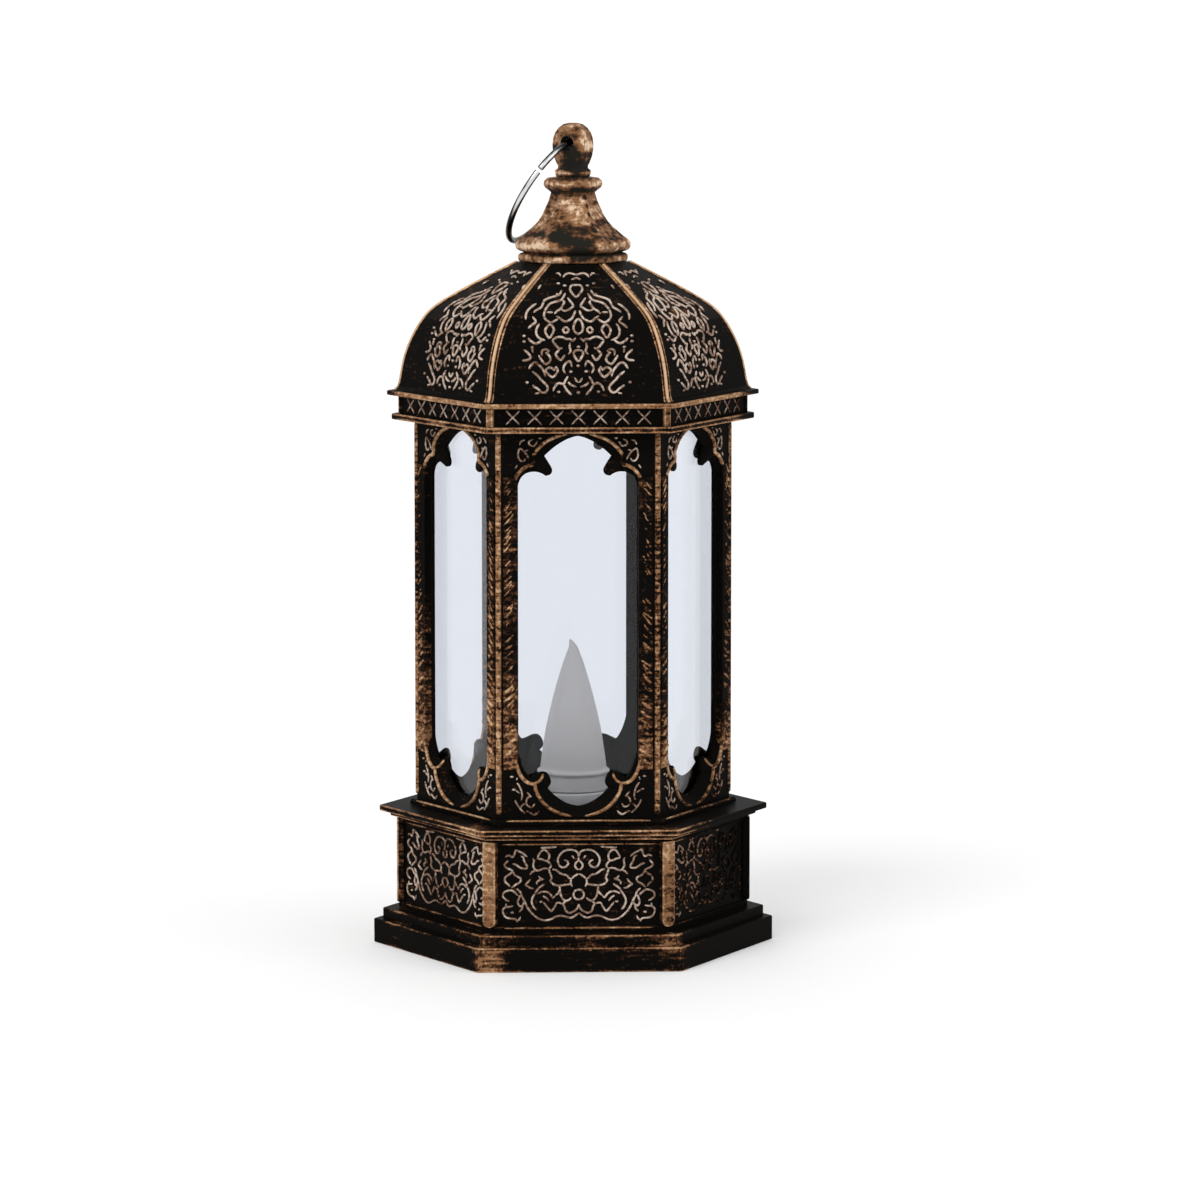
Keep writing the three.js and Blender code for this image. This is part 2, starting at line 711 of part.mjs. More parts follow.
function makeCage() {
  const outside = prism(hexagon(cageRadius), cageZ, cageTopZ + cageCollarHeight);
  const inside = prism(hexagon(cageInside / flatShare), cageZ - 1, cageTopZ + cageCollarHeight + 1);
  const beadCircle = cageRadius - beadInset;
  const beads = Array.from({ length: 6 }, (_, k) => {
    const { x, y } = polar(beadCircle, k * sixth);
    return cylinder(beadRadius, cageZ, cageTopZ, x, y, 12);
  });
  const rails = [
    prism(hexagon(cageRadius + baseRailReach), cageZ, cageZ + baseRailHeight),
    prism(hexagon(cageRadius + topRailReach), cageTopZ - topRailHeight, cageTopZ),
  ];
  const band = prism(hexagon(cageRadius * 1.2), cageZ, cageTopZ);
  const ridge = loft([
    onFace(grown(ridgeLine, ridgeWidth), cageFace - cageWall / 2),
    onFace(grown(ridgeLine, ridgeWidth), cageFace + ridgeProud),
  ]).intersect(band);
  const reveal = loft([
    onFace(opening, cageInside - 1),
    onFace(opening, cageInside),
    onFace(ridgeLine, cageFace),
    onFace(ridgeLine, cageFace + 2 * ridgeProud),
  ]);
  const frame = joined([outside, ...beads, ...rails, ...onEachSide(ridge)]);
  const opened = onEachSide(reveal).reduce((whole, cut) => whole.subtract(cut), frame.subtract(inside));
  const pins = pegs.map(({ x, y }) => cylinder(cagePegRadius, deckZ - cagePegDepth, cageZ + jointGap, x, y, 12));
  return joined([opened, ...pins]);
}
piece('cage', makeCage(), bronze);

// Clear panes inside the cage, one behind each window, standing on the deck
const paneOutside = cageInside - seatGap;
const paneWidth = 2 * (paneOutside - paneThickness) * Math.tan(sixth / 2) - 2 * seatGap;
const paneHeight = cageHeight + cageCollarHeight - 2 * seatGap;
for (let k = 0; k < 6; k += 1) {
  const pane = new THREE.BoxGeometry(paneWidth, paneThickness, paneHeight);
  const mesh = new THREE.Mesh(pane, clearSheet);
  mesh.name = `window_pane_${k + 1}`;
  mesh.position.set(0, -paneOutside + paneThickness / 2, deckZ + seatGap + paneHeight / 2);
  const turn = new THREE.Group();
  turn.rotation.z = k * sixth;
  turn.add(mesh);
  lantern.add(turn);
}

// The dome's rib line: share of the height against share of the radius, from the eave to the crown.
const domeProfile = [
  [0, 1], [0.1, 0.986], [0.24, 0.966], [0.38, 0.929], [0.5, 0.885],
  [0.6, 0.83], [0.68, 0.765], [0.76, 0.665], [0.87, 0.51], [1, 0.331],
];

function makeRoof() {
  const ribbed = domeProfile.map(([up, out]) => (
    atHeight(strippedHexagon(domeRadius * out - ribProud, ribWidth, ribProud), domeZ + domeHeight * up)
  ));
  const outside = joined([
    prism(hexagon(cageRadius + lowerFlangeReach), corniceZ, friezeZ),
    prism(strippedHexagon(cageRadius + friezeReach, friezeStripWidth, friezeStripProud), friezeZ, eaveZ),
    prism(hexagon(cageRadius + eaveReach), eaveZ, domeZ),
    loft(ribbed),
  ]);
  const insideTop = crownZ - crownThickness;
  const shrink = roofWall / flatShare + ribProud;
  const cavity = [
    atHeight(hexagon(boreInside), corniceZ - 1),
    atHeight(hexagon(boreInside), domeZ),
    ...domeProfile.slice(1, -1).map(([up, out]) => (
      atHeight(hexagon(domeRadius * out - shrink), domeZ + (insideTop - domeZ) * up)
    )),
    atHeight(hexagon(domeRadius * domeProfile.at(-1)[1] - shrink), insideTop),
  ];
  const screwHole = cylinder(screwRadius + seatGap, insideTop - 1, crownZ + 1, 0, 0, 16);
  return outside.subtract(loft(cavity)).subtract(screwHole);
}
piece('roof', makeRoof(), bronze);

// Spire: [share of its height, share of its base radius, roundness], with two base mouldings,
// a hollow-sided cone, a collar, a bead, a neck and the ball that the ring hangs from.
const spireProfile = [
  [0, 0.956, 0.04],
  [0.009, 1, 0],
  [0.049, 1, 0],
  [0.062, 0.962, 0],
  [0.078, 1.033, 0],
  [0.098, 1.049, 0],
  [0.142, 1.049, 0],
  [0.169, 0.989, 0],
  [0.191, 0.89, 0],
  [0.231, 0.78, 0],
  [0.289, 0.648, 0],
  [0.356, 0.538, 0],
  [0.422, 0.462, 0],
  [0.502, 0.401, 0.1],
  [0.516, 0.445, 0.2],
  [0.533, 0.505, 0.2],
  [0.556, 0.533, 0.2],
  [0.582, 0.522, 0.2],
  [0.604, 0.44, 0.2],
  [0.613, 0.31, 0.4],
  [0.64, 0.33, 0.4],
  [0.662, 0.3, 0.4],
  [0.684, 0.268, 0.4],
  [0.724, 0.319, 0.45],
  [0.778, 0.363, 0.45],
  [0.844, 0.374, 0.45],
  [0.902, 0.346, 0.45],
  [0.947, 0.275, 0.5],
  [0.982, 0.165, 0.6],
  [1, 0.066, 0.8],
];

// The ring's frame: out of the hole's front end, and from the hole to the ring's middle
const ringRadius = ringDiameter / 2;
const ringFront = new THREE.Vector3(-Math.sin(ringTurn), -Math.cos(ringTurn), 0);
const ringSide = new THREE.Vector3(-Math.cos(ringTurn), Math.sin(ringTurn), 0);
const ringDown = ringSide.clone().multiplyScalar(Math.sin(ringLean)).add(new THREE.Vector3(0, 0, -Math.cos(ringLean)));
const ringAcross = ringDown.clone().cross(ringFront);
const ringHole = new THREE.Vector3(0, 0, spireTopZ - ringHoleBelowTop);
const ballHalfWidth = 3.4;
const ringSag = ringRadius - Math.sqrt(ringRadius ** 2 - ballHalfWidth ** 2);   // over the ball's width
const ringHoleRadius = ringWire / 2 + ringSag / 2 + runningGap;

function makeSpire() {
  const sections = spireProfile.map(([up, out, roundness]) => (
    atHeight(softHexagon(out * spireBaseRadius, roundness), spireZ + up * spireHeight)
  ));
  const hole = new THREE.CylinderGeometry(ringHoleRadius, ringHoleRadius, 4 * ballHalfWidth, 16)
    .rotateZ(-ringTurn)
    .translate(0, 0, ringHole.z);
  const pilot = cylinder(screwHoleRadius, spireZ - 1, spireZ + spireScrewLength - crownThickness, 0, 0, 12);
  return loft(sections).subtract(solid(hole)).subtract(pilot);
}
piece('spire', makeSpire(), bronze);

function makeSpireScrew() {
  const seat = crownZ - crownThickness - jointGap;
  const tip = seat + spireScrewLength - seatGap;
  return turned([
    [0, seat - screwHeadHeight],
    [screwHeadRadius, seat - screwHeadHeight],
    [screwHeadRadius, seat],
    [screwRadius, seat],
    [screwRadius, tip - screwRadius],
    [0, tip],
  ], 16);
}
piece('spire_screw', makeSpireScrew(), steel);

// The hanging ring: an open ring of wire, threaded through the ball
class RingLine extends THREE.Curve {
  getPoint(t, target = new THREE.Vector3()) {
    const halfSplit = ringSplit / ringRadius / 2;
    const from = ringSplitAngle + halfSplit;
    const angle = from + t * (2 * Math.PI - 2 * halfSplit);
    return target.set(ringRadius * (1 - Math.cos(angle)), ringRadius * Math.sin(angle), 0);
  }
}

function makeRing() {
  const section = new THREE.Shape().absarc(0, 0, ringWire / 2, 0, 2 * Math.PI);
  const tube = new THREE.ExtrudeGeometry(section, { extrudePath: new RingLine(), steps: 56, curveSegments: 5 });
  const placed = new THREE.Matrix4()
    .makeBasis(ringDown, ringFront, ringAcross)
    .setPosition(ringHole.clone().addScaledVector(ringDown, -ringSag / 2));
  return solid(tube.applyMatrix4(placed));
}
piece('hanging_ring', makeRing(), steel);

export default lantern;
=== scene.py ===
"""The visual model of a small hexagonal lantern night light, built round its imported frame."""
import json
import math
import random

import bmesh
import bpy
from mathutils import Matrix, Vector


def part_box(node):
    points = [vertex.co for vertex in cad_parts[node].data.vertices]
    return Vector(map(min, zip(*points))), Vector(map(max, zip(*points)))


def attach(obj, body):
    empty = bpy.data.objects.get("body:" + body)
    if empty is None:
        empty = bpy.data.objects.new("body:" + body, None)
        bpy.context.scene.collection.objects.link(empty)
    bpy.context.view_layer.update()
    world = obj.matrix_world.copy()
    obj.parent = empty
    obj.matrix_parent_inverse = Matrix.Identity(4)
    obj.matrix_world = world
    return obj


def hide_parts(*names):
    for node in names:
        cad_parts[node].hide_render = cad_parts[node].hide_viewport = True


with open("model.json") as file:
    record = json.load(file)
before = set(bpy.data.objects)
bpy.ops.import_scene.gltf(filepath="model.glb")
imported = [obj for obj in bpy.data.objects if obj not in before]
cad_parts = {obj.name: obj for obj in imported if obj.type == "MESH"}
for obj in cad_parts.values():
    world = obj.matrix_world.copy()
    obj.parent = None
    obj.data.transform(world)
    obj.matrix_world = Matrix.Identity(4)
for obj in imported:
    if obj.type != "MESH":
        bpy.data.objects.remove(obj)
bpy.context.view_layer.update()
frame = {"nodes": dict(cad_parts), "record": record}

bl_info = {
    "name": "Lantern Night Light",
    "version": (1, 0, 0),
    "blender": (4, 5, 0),
    "location": "View3D > Sidebar > Lantern",
    "description": "Builds a hexagonal lantern night light round its packed frame",
    "category": "Add Mesh",
}

# Lengths are in millimetres, and a finished piece is scaled to metres once. A level or a profile point is
# (radius to the corners, height). The front side faces -Y.
MM = 0.001
SIXTH = math.pi / 3
FLAT = math.cos(math.pi / 6)
SIDES = range(6)
UP, FRONT, RIGHT = Vector((0, 0, 1)), Vector((0, -1, 0)), Vector((1, 0, 0))


def node_box(node):
    """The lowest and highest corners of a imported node, in millimetres."""
    low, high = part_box(node)
    return Vector(low) / MM, Vector(high) / MM


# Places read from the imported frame
FOOT_RADIUS = node_box("plinth")[1].x
DECK_Z = node_box("plinth")[1].z
RAIL_RADIUS = node_box("cage")[1].x
CORNICE_Z = node_box("roof")[0].z
CROWN_Z = node_box("roof")[1].z
EAVE_RADIUS = node_box("roof")[1].x
SPIRE_Z = node_box("spire")[0].z
SPIRE_TOP_Z = node_box("spire")[1].z
LENS_COLLAR = 2.0
LENS_Z = node_box("flame_lens")[0].z + LENS_COLLAR
LENS_TOP_Z = node_box("flame_lens")[1].z

# Looseness of the search for faces and edges: the least cosine to the way faced, and degrees of a proud edge
FACING = 0.95
PROUD = 40

# Plinth
FOOT_TOP_Z = 4.0
STEP_RADIUS = FOOT_RADIUS - 1.5
STEP_TOP_Z = 5.8
PLINTH_RADIUS = FOOT_RADIUS - 4.2
COVE_RADIUS = PLINTH_RADIUS + 1.4
COVE_Z = 21.1
LEDGE_RADIUS = PLINTH_RADIUS + 3.2
LEDGE_Z = 21.95
RIM_RADIUS = FOOT_RADIUS - 2.77
PLATE_SEAT_Z = 2.8
PLINTH_INSIDE = 26.7
DECK_THICK = 2.0
SLEEVE_HOLE = 5.95
PANEL_FRAME = 0.85
PANEL_RECESS = 0.4
PANEL_SLOPE = 0.14
PANEL_BORDER = 0.3
PANEL_CENTRE_Z = 12.0
STRIP_Z, STRIP_TOP_Z = 6.7, 20.7
STRIP_THICK, STRIP_WIDE = 1.1, 2.3
STRIP_FOOT_ROUND = 1.05
STRIP_ROUND = 0.22
# Borders where the copper fades out: (lowest and highest middle of the faces, width, rub at the edge, inside)
PLINTH_BORDERS = (
    (0.2, 3.8, 0.6, 0.2, 0.0), (4.2, 5.6, 0.4, 0.3, 0.06), (22.1, 22.8, 0.35, 0.5, 0.05),
    (21.2, 21.9, 0.25, 0.4, 0.1),
)
# Copper lines along the panels: (half length, height)
PANEL_EDGES = ((12.2, 20.3), (12.0, 6.6))
PANEL_EDGE_RADIUS = 0.15

# Cage
CAGE_Z = DECK_Z + 0.1
CAGE_RADIUS = 25.75
RAIL_FACE_Z = CAGE_Z + 0.5
RAIL_TOP_Z = CAGE_Z + 0.9
# The copper line along the rail: (half length, height)
RAIL_LIP = (11.6, CAGE_Z + 0.72)
RAIL_LIP_RADIUS = 0.19
WALL_FACE = CAGE_RADIUS * FLAT
WALL_BACK = WALL_FACE - 1.6
LIP_BACK = WALL_BACK + 0.45
WINDOW_TOP = 85.9
WINDOW_BOTTOM = 25.9
WINDOW_HALF = 9.6
RIDGE_HALF = 10.3
RIDGE_LOWEST, RIDGE_HIGHEST = CAGE_Z + 0.6, CORNICE_Z - 0.3
# The heights between which the line round a window is copper, below and above the posts
RIDGE_PARTS = ((RAIL_TOP_Z, 36), (76, CORNICE_Z - 0.35))
ARCH_RISE = 8.0
BOWL_DROP = 8.6
BEAD_REACH = CAGE_RADIUS - 0.2
BEAD_HEIGHTS = (24.7, 24.85, 25.1, 40, 55, 70, 85.4, 86.2, 86.5)
# The fork of the right-hand line under a window: across, up and out
FORK = ((7.1, 29.75, WALL_FACE), (6.35, 30.05, WALL_FACE - 0.3), (5.85, 30.6, WALL_FACE - 0.6),
        (5.65, 31.2, WALL_FACE - 0.95))
FORK_RADIUS = 0.26
POST_Z, POST_TOP_Z = 32.0, 79.5
POST_INNER, POST_OUTER = 9.72, 12.05
POST_PROUD, POST_THICK = 0.3, 1.6
POST_ROUND = 0.2
# The scales on a post: ends nearest the window and the corner, rise, thickness and distance apart. The second
# number of a pair is how much the first changes from LEAVES_Z to MARKS_Z.
LEAVES_Z, MARKS_Z = 36, 62
SCALE_INNER, SCALE_OUTER = (9.95, 0.75), 11.95
SCALE_RISE = (0.85, 1.45)
SCALE_THICK, SCALE_PITCH = (0.34, -0.17), (1.5, -0.3)

# Roof
CORNICE_RADIUS = 29.75
FRIEZE_Z = CORNICE_Z + 1
FRIEZE_RADIUS = 28.4
EAVE_Z = FRIEZE_Z + 3
DOME_Z = EAVE_Z + 0.8
DOME_PROFILE = (
    (29.75, 0.0), (29.2, 0.25), (28.85, 0.8), (28.55, 2.1), (28.0, 5.0), (26.95, 8.0),
    (25.25, 11.1), (23.1, 13.5), (19.4, 15.8), (14.75, 18.3), (9.65, 20.9),
)
ROOF_INSIDE = ((26.05, CORNICE_Z), (26.05, DOME_Z), (25, 99), (20, 105), (9, 110))
RIB_WIDE = 0.85
RIB_SUNK = 0.42
RIB_EDGES = (-0.65, 0.65)
RIB_EDGE_RADIUS = 0.2
BAR_THICK, BAR_WIDE = 1.2, 1.25
BAR_SUNK = 0.42
CROSS_COUNT, CROSS_PITCH = 7, 3.5
CROSS_RADIUS = 0.16
# A half cross from its middle outwards: across, up
CROSS_ARM = ((0.5, 0.5), (1.1, 1.15))
# How far the scrolls of the two panels beside the front one move at the dome's foot
DOME_SHIFTS = {1: -2.4, 5: 2.4}
DOME_SHIFT_END = 34

# Spire, with heights from its foot: two base mouldings, cone, collar, bead and ball
SPIRE_START = 8.8
SPIRE_PROFILE = (
    (9.05, 0.2), (9.1, 0.95), (8.8, 1.3), (8.2, 1.5), (8.9, 1.75), (9.4, 2.05), (9.55, 2.55), (9.5, 3.1),
    (9.1, 3.6),
    (8.3, 4.1), (7.45, 4.85), (6.55, 5.6), (5.75, 6.5), (5.1, 7.5), (4.55, 8.7), (4.05, 9.8), (3.62, 11.2),
    (4.05, 11.6), (4.6, 12.0), (4.85, 12.5), (4.75, 13.1), (4.2, 13.6), (2.75, 13.8),
    (2.85, 14.0), (3.0, 14.4), (2.95, 14.8), (2.5, 15.15),
    (2.45, 15.5), (2.75, 16.1), (3.1, 17.0), (3.3, 18.0), (3.36, 19.0), (3.25, 20.0), (2.95, 20.9),
    (2.4, 21.7), (1.6, 22.3), (0.8, 22.5),
)
# The rounding of its upright edges: (from, to, width)
SPIRE_ROUNDING = ((0, 3.65, 0.42), (3.65, 11.3, 0.4), (11.3, 13.7, 0.5), (13.7, 15.2, 0.5), (15.2, 23, 0.62))
# How far the copper is rubbed on at each height; the high values on the rims of the mouldings also paint
# their highlights in the pale spire crest colour
SPIRE_RUB_AND_HIGHLIGHTS = (
    (0, 0.5), (0.7, 0.85), (1.3, 0.2), (1.7, 0.3), (2.2, 0.82), (3.2, 0.82), (3.8, 0.45), (5.0, 0.35),
    (8.0, 0.55), (10.0, 0.5), (10.8, 0.15), (11.8, 0.25), (12.3, 0.9), (12.9, 0.8), (13.4, 0.4), (13.8, 0.2),
    (14.4, 0.95), (15.1, 0.1), (16.4, 0.2), (18, 0.42), (21.5, 0.5), (22.5, 0.45),
)
HOLE_Z = SPIRE_TOP_Z - 3.2
HOLE_RADIUS = 1.14

# Hanging ring: the hole's turn about the axis, the ring's lean and where its gap is
RING_TURN = math.radians(23.7)
RING_LEAN = math.radians(31.7)
RING_GAP_TURN = math.radians(62)
RING_RADIUS = 9.65
RING_GAP = 0.7
RING_REACH = 3.4
RING_STEPS = 112

# Flame, with heights from its dish
FLAME_PROFILE = (
    (3.5, -2), (4.5, -2), (4.5, -0.05), (5.6, -0.02), (5.72, 0.2), (5.7, 1.4), (5.6, 2.2), (5.7, 2.5),
    (5.95, 2.7), (5.98, 2.95), (5.8, 3.15), (5.5, 3.35), (5.4, 4.0), (5.28, 5.0), (5.05, 6.6), (4.65, 9.2),
    (4.12, 11.8), (3.5, 14.4), (2.88, 16.8), (2.25, 19), (1.65, 20.9), (1.02, 22.6), (0.55, 23.8),
    (0.28, 24.4), (0.0, LENS_TOP_Z - LENS_Z),
)
FLAME_WALL = 0.9
FLAME_WALL_DROP = 0.6
FLAME_INSIDE_TOP = 21.5
FLAME_INSIDE_FOOT = (3.5, 3.0)
# The hollow follows the outside between these heights, where the outside is wider than this radius
FLAME_HOLLOW = (3.6, 21.6)
FLAME_HOLLOW_RADIUS = 1.1
# The height above which the tip bends to the left, how far and how fast
FLAME_BEND_Z, FLAME_BEND, FLAME_BEND_POWER = 23.3, 0.35, 1.5

# Stage, with the photograph's camera in metres and radians
FLOOR_HALF = 12 / MM
PHOTO_PX = 1200
FOCAL_PX = 5932
SENSOR_WIDTH = 36
CAMERA_PLACE = (-0.0338, -0.9667, 0.1783)
CAMERA_TURN = 0.0395
CAMERA_PITCH = 0.125

# The middles of the front panels in the photograph, as its pixels, and its pixels to a millimetre there
PANEL_MIDDLE_PX = (579.25, 894.5)
PANEL_PX_PER_MM = (6.2, 6.118)
DOME_MIDDLE_PX = (576.6, 330.0)
DOME_PX_PER_MM = 6.25
# How the dome panel's middle line moves sideways down the photograph, and its height in millimetres there
DOME_LEAN = (0.0278, -0.000257)
DOME_UP = (11.2, -0.1652, 0.000069)

# Ornament strokes of the front panels, read off the photograph as its pixels.
# A "pair" is repeated on the other side of the middle.
PANEL_STROKES = (
    ("loop", ((573.9, 894.5), (576.6, 890.1), (581.9, 890.1), (584.6, 894.5), (581.9, 898.9),
              (576.6, 898.9))),
    ("pair", ((579.2, 857), (578.4, 853), (576.2, 850.8), (571.7, 849.6), (565.6, 850.4), (560.6, 854.3),
              (558.3, 859.3), (559.4, 864.3), (562.2, 867.1), (566.1, 866.6), (568.9, 863.2), (567, 860.6),
              (564.4, 859.9))),
    ("pair", ((572.2, 855.2), (574.6, 858.4))),
    ("pair", ((579.2, 860.5), (577, 862), (575.3, 865.4), (577, 868.5), (579.2, 869.5))),
    ("line", ((579.2, 857), (579.2, 861))),
    ("pair", ((571.7, 878.8), (575, 876), (579.2, 873.5))),
    ("pair", ((571.7, 878.8), (571.2, 883), (573, 886.8))),
    ("pair", ((560, 886), (560.3, 889.9), (561.2, 894.9), (562.8, 898.2), (566.1, 900.7), (570, 899.3),
              (571.7, 897.1))),
    ("pair", ((560.3, 889.9), (558.3, 893.2), (555.6, 895.4))),
    ("pair", ((552.8, 869.1), (556.7, 869.9), (560, 872.7), (563.3, 874.3), (566.7, 874.9), (569.4, 877.7),
              (571.7, 878.8))),
    ("pair", ((549.4, 868.8), (550.4, 872.7), (552.2, 877.7), (550.8, 880.4), (552.8, 883.2), (556.1, 884.9),
              (560, 885.4), (564.4, 884.9), (568.9, 884.3), (571.3, 883))),
    ("pair", ((579.2, 904), (577.9, 908), (574.5, 911.2), (569.5, 912.8), (566, 910.2), (565, 906.4),
              (563.2, 904), (565, 902), (566.1, 900.7))),
    ("pair", ((563.2, 904), (558, 902.4), (555.5, 906), (552, 911), (548.9, 908.2), (546.1, 904.9),
              (543.9, 902.1))),
    ("pair", ((513.1, 863.2), (516.7, 864.3), (518.9, 866), (522.2, 867.9), (526.1, 868.2), (527.8, 866.6),
              (526.1, 863.2), (524.4, 859.9), (523.9, 857.1), (521.1, 855.4))),
    ("pair", ((505.6, 856.6), (509.4, 854.9), (513.3, 856.6), (515.4, 852.9), (516.1, 849.9), (518.9, 850.7),
              (523.9, 853.2), (527.8, 856.6))),
    ("pair", ((508.9, 860.2), (506.1, 862.7), (505, 864.9), (507.2, 867.4), (510.6, 868.8), (513.1, 870.4),
              (511.1, 873.2), (507.2, 875.4), (505.3, 878.2), (506.1, 881.6), (509.2, 884.3),
              (510.6, 886.6))),
    ("pair", ((513.1, 870.4), (515, 874.3), (518.3, 876.3), (521.4, 878.2), (520.6, 881.6), (516.7, 883.8),
              (514.7, 885.4), (511.9, 887.7))),
    ("pair", ((518.9, 895.4), (516.1, 892.7), (511.9, 889.9), (507.2, 890.4), (503.9, 892.7), (503.3, 896),
              (505.6, 898.8), (510, 901))),
    ("pair", ((517.2, 888.2), (521.1, 892.1), (522.2, 896), (525, 900.4), (526.7, 904.9), (530, 910.4),
              (535.6, 916), (541.1, 919.3), (546.7, 920.1), (551.7, 918.8), (556.5, 916.4), (562.5, 915.6),
              (570.5, 917.7), (574.7, 916.2), (579.2, 912.8))),
    ("pair_loop", ((521.4, 894.9), (518.9, 899.3), (518.3, 902.7), (520.6, 906), (523.9, 903.8),
                   (524.4, 899.9))),
    ("pair", ((523.3, 904.9), (522.2, 908.8), (519.4, 911.6))),
    ("pair", ((513.6, 905.4), (510, 906.3), (506.1, 906.6), (503.3, 909.3), (503.9, 913.8), (506.7, 917.1),
              (511.7, 918.2), (516.1, 918.8), (517.8, 922.1))),
    ("pair", ((521.1, 916), (520, 918.8), (517.8, 920.4))),
    ("pair_dot", ((512.8, 912.1),)),
    ("pair", ((506.7, 903.2), (506.1, 906))),
    ("pair_loop", ((538.3, 857.7), (539.7, 853.8), (542.2, 850.4), (545, 849.6), (547.8, 851.6),
                   (549.7, 854.9), (549.4, 858.2), (547.8, 860.7), (544.4, 859.9), (541.1, 858.6))),
    ("pair", ((547.8, 860.7), (550, 862.7), (551.7, 865.4), (549.4, 868.8))),
    ("pair", ((533.3, 857.6), (534.4, 861), (533.6, 865.4), (536.1, 869.9), (540, 869.9), (544.4, 868.2),
              (549.4, 868.4))),
    ("pair", ((536.1, 869.9), (532.2, 872.1), (530.2, 874.7))),
    ("pair", ((531.1, 878.8), (528.3, 882.1), (526.1, 884.3), (527.8, 885.6), (531.1, 887.7),
              (534.4, 888.2))),
    ("pair", ((538.9, 875.4), (541.1, 878.2), (543.6, 878.8), (540, 879.9), (537.2, 882.1), (537.8, 884.6))),
    ("pair", ((545, 883.8), (541.7, 886), (538.3, 888.8), (535.6, 893.2), (532.8, 897.7), (532.2, 902.1),
              (533.9, 906.6), (536.7, 909.9))),
    ("pair", ((537.8, 893.8), (542.2, 891.6), (546.7, 891.6), (550.6, 893.8), (553.3, 897.7),
              (555.6, 895.4))),
    ("pair", ((543.3, 895.4), (546.7, 897.7), (549.6, 901.2))),
    ("pair_dot", ((541.5, 901.5),)),
    ("pair", ((557.5, 846.6), (549, 847.2), (541, 847.6))),
)
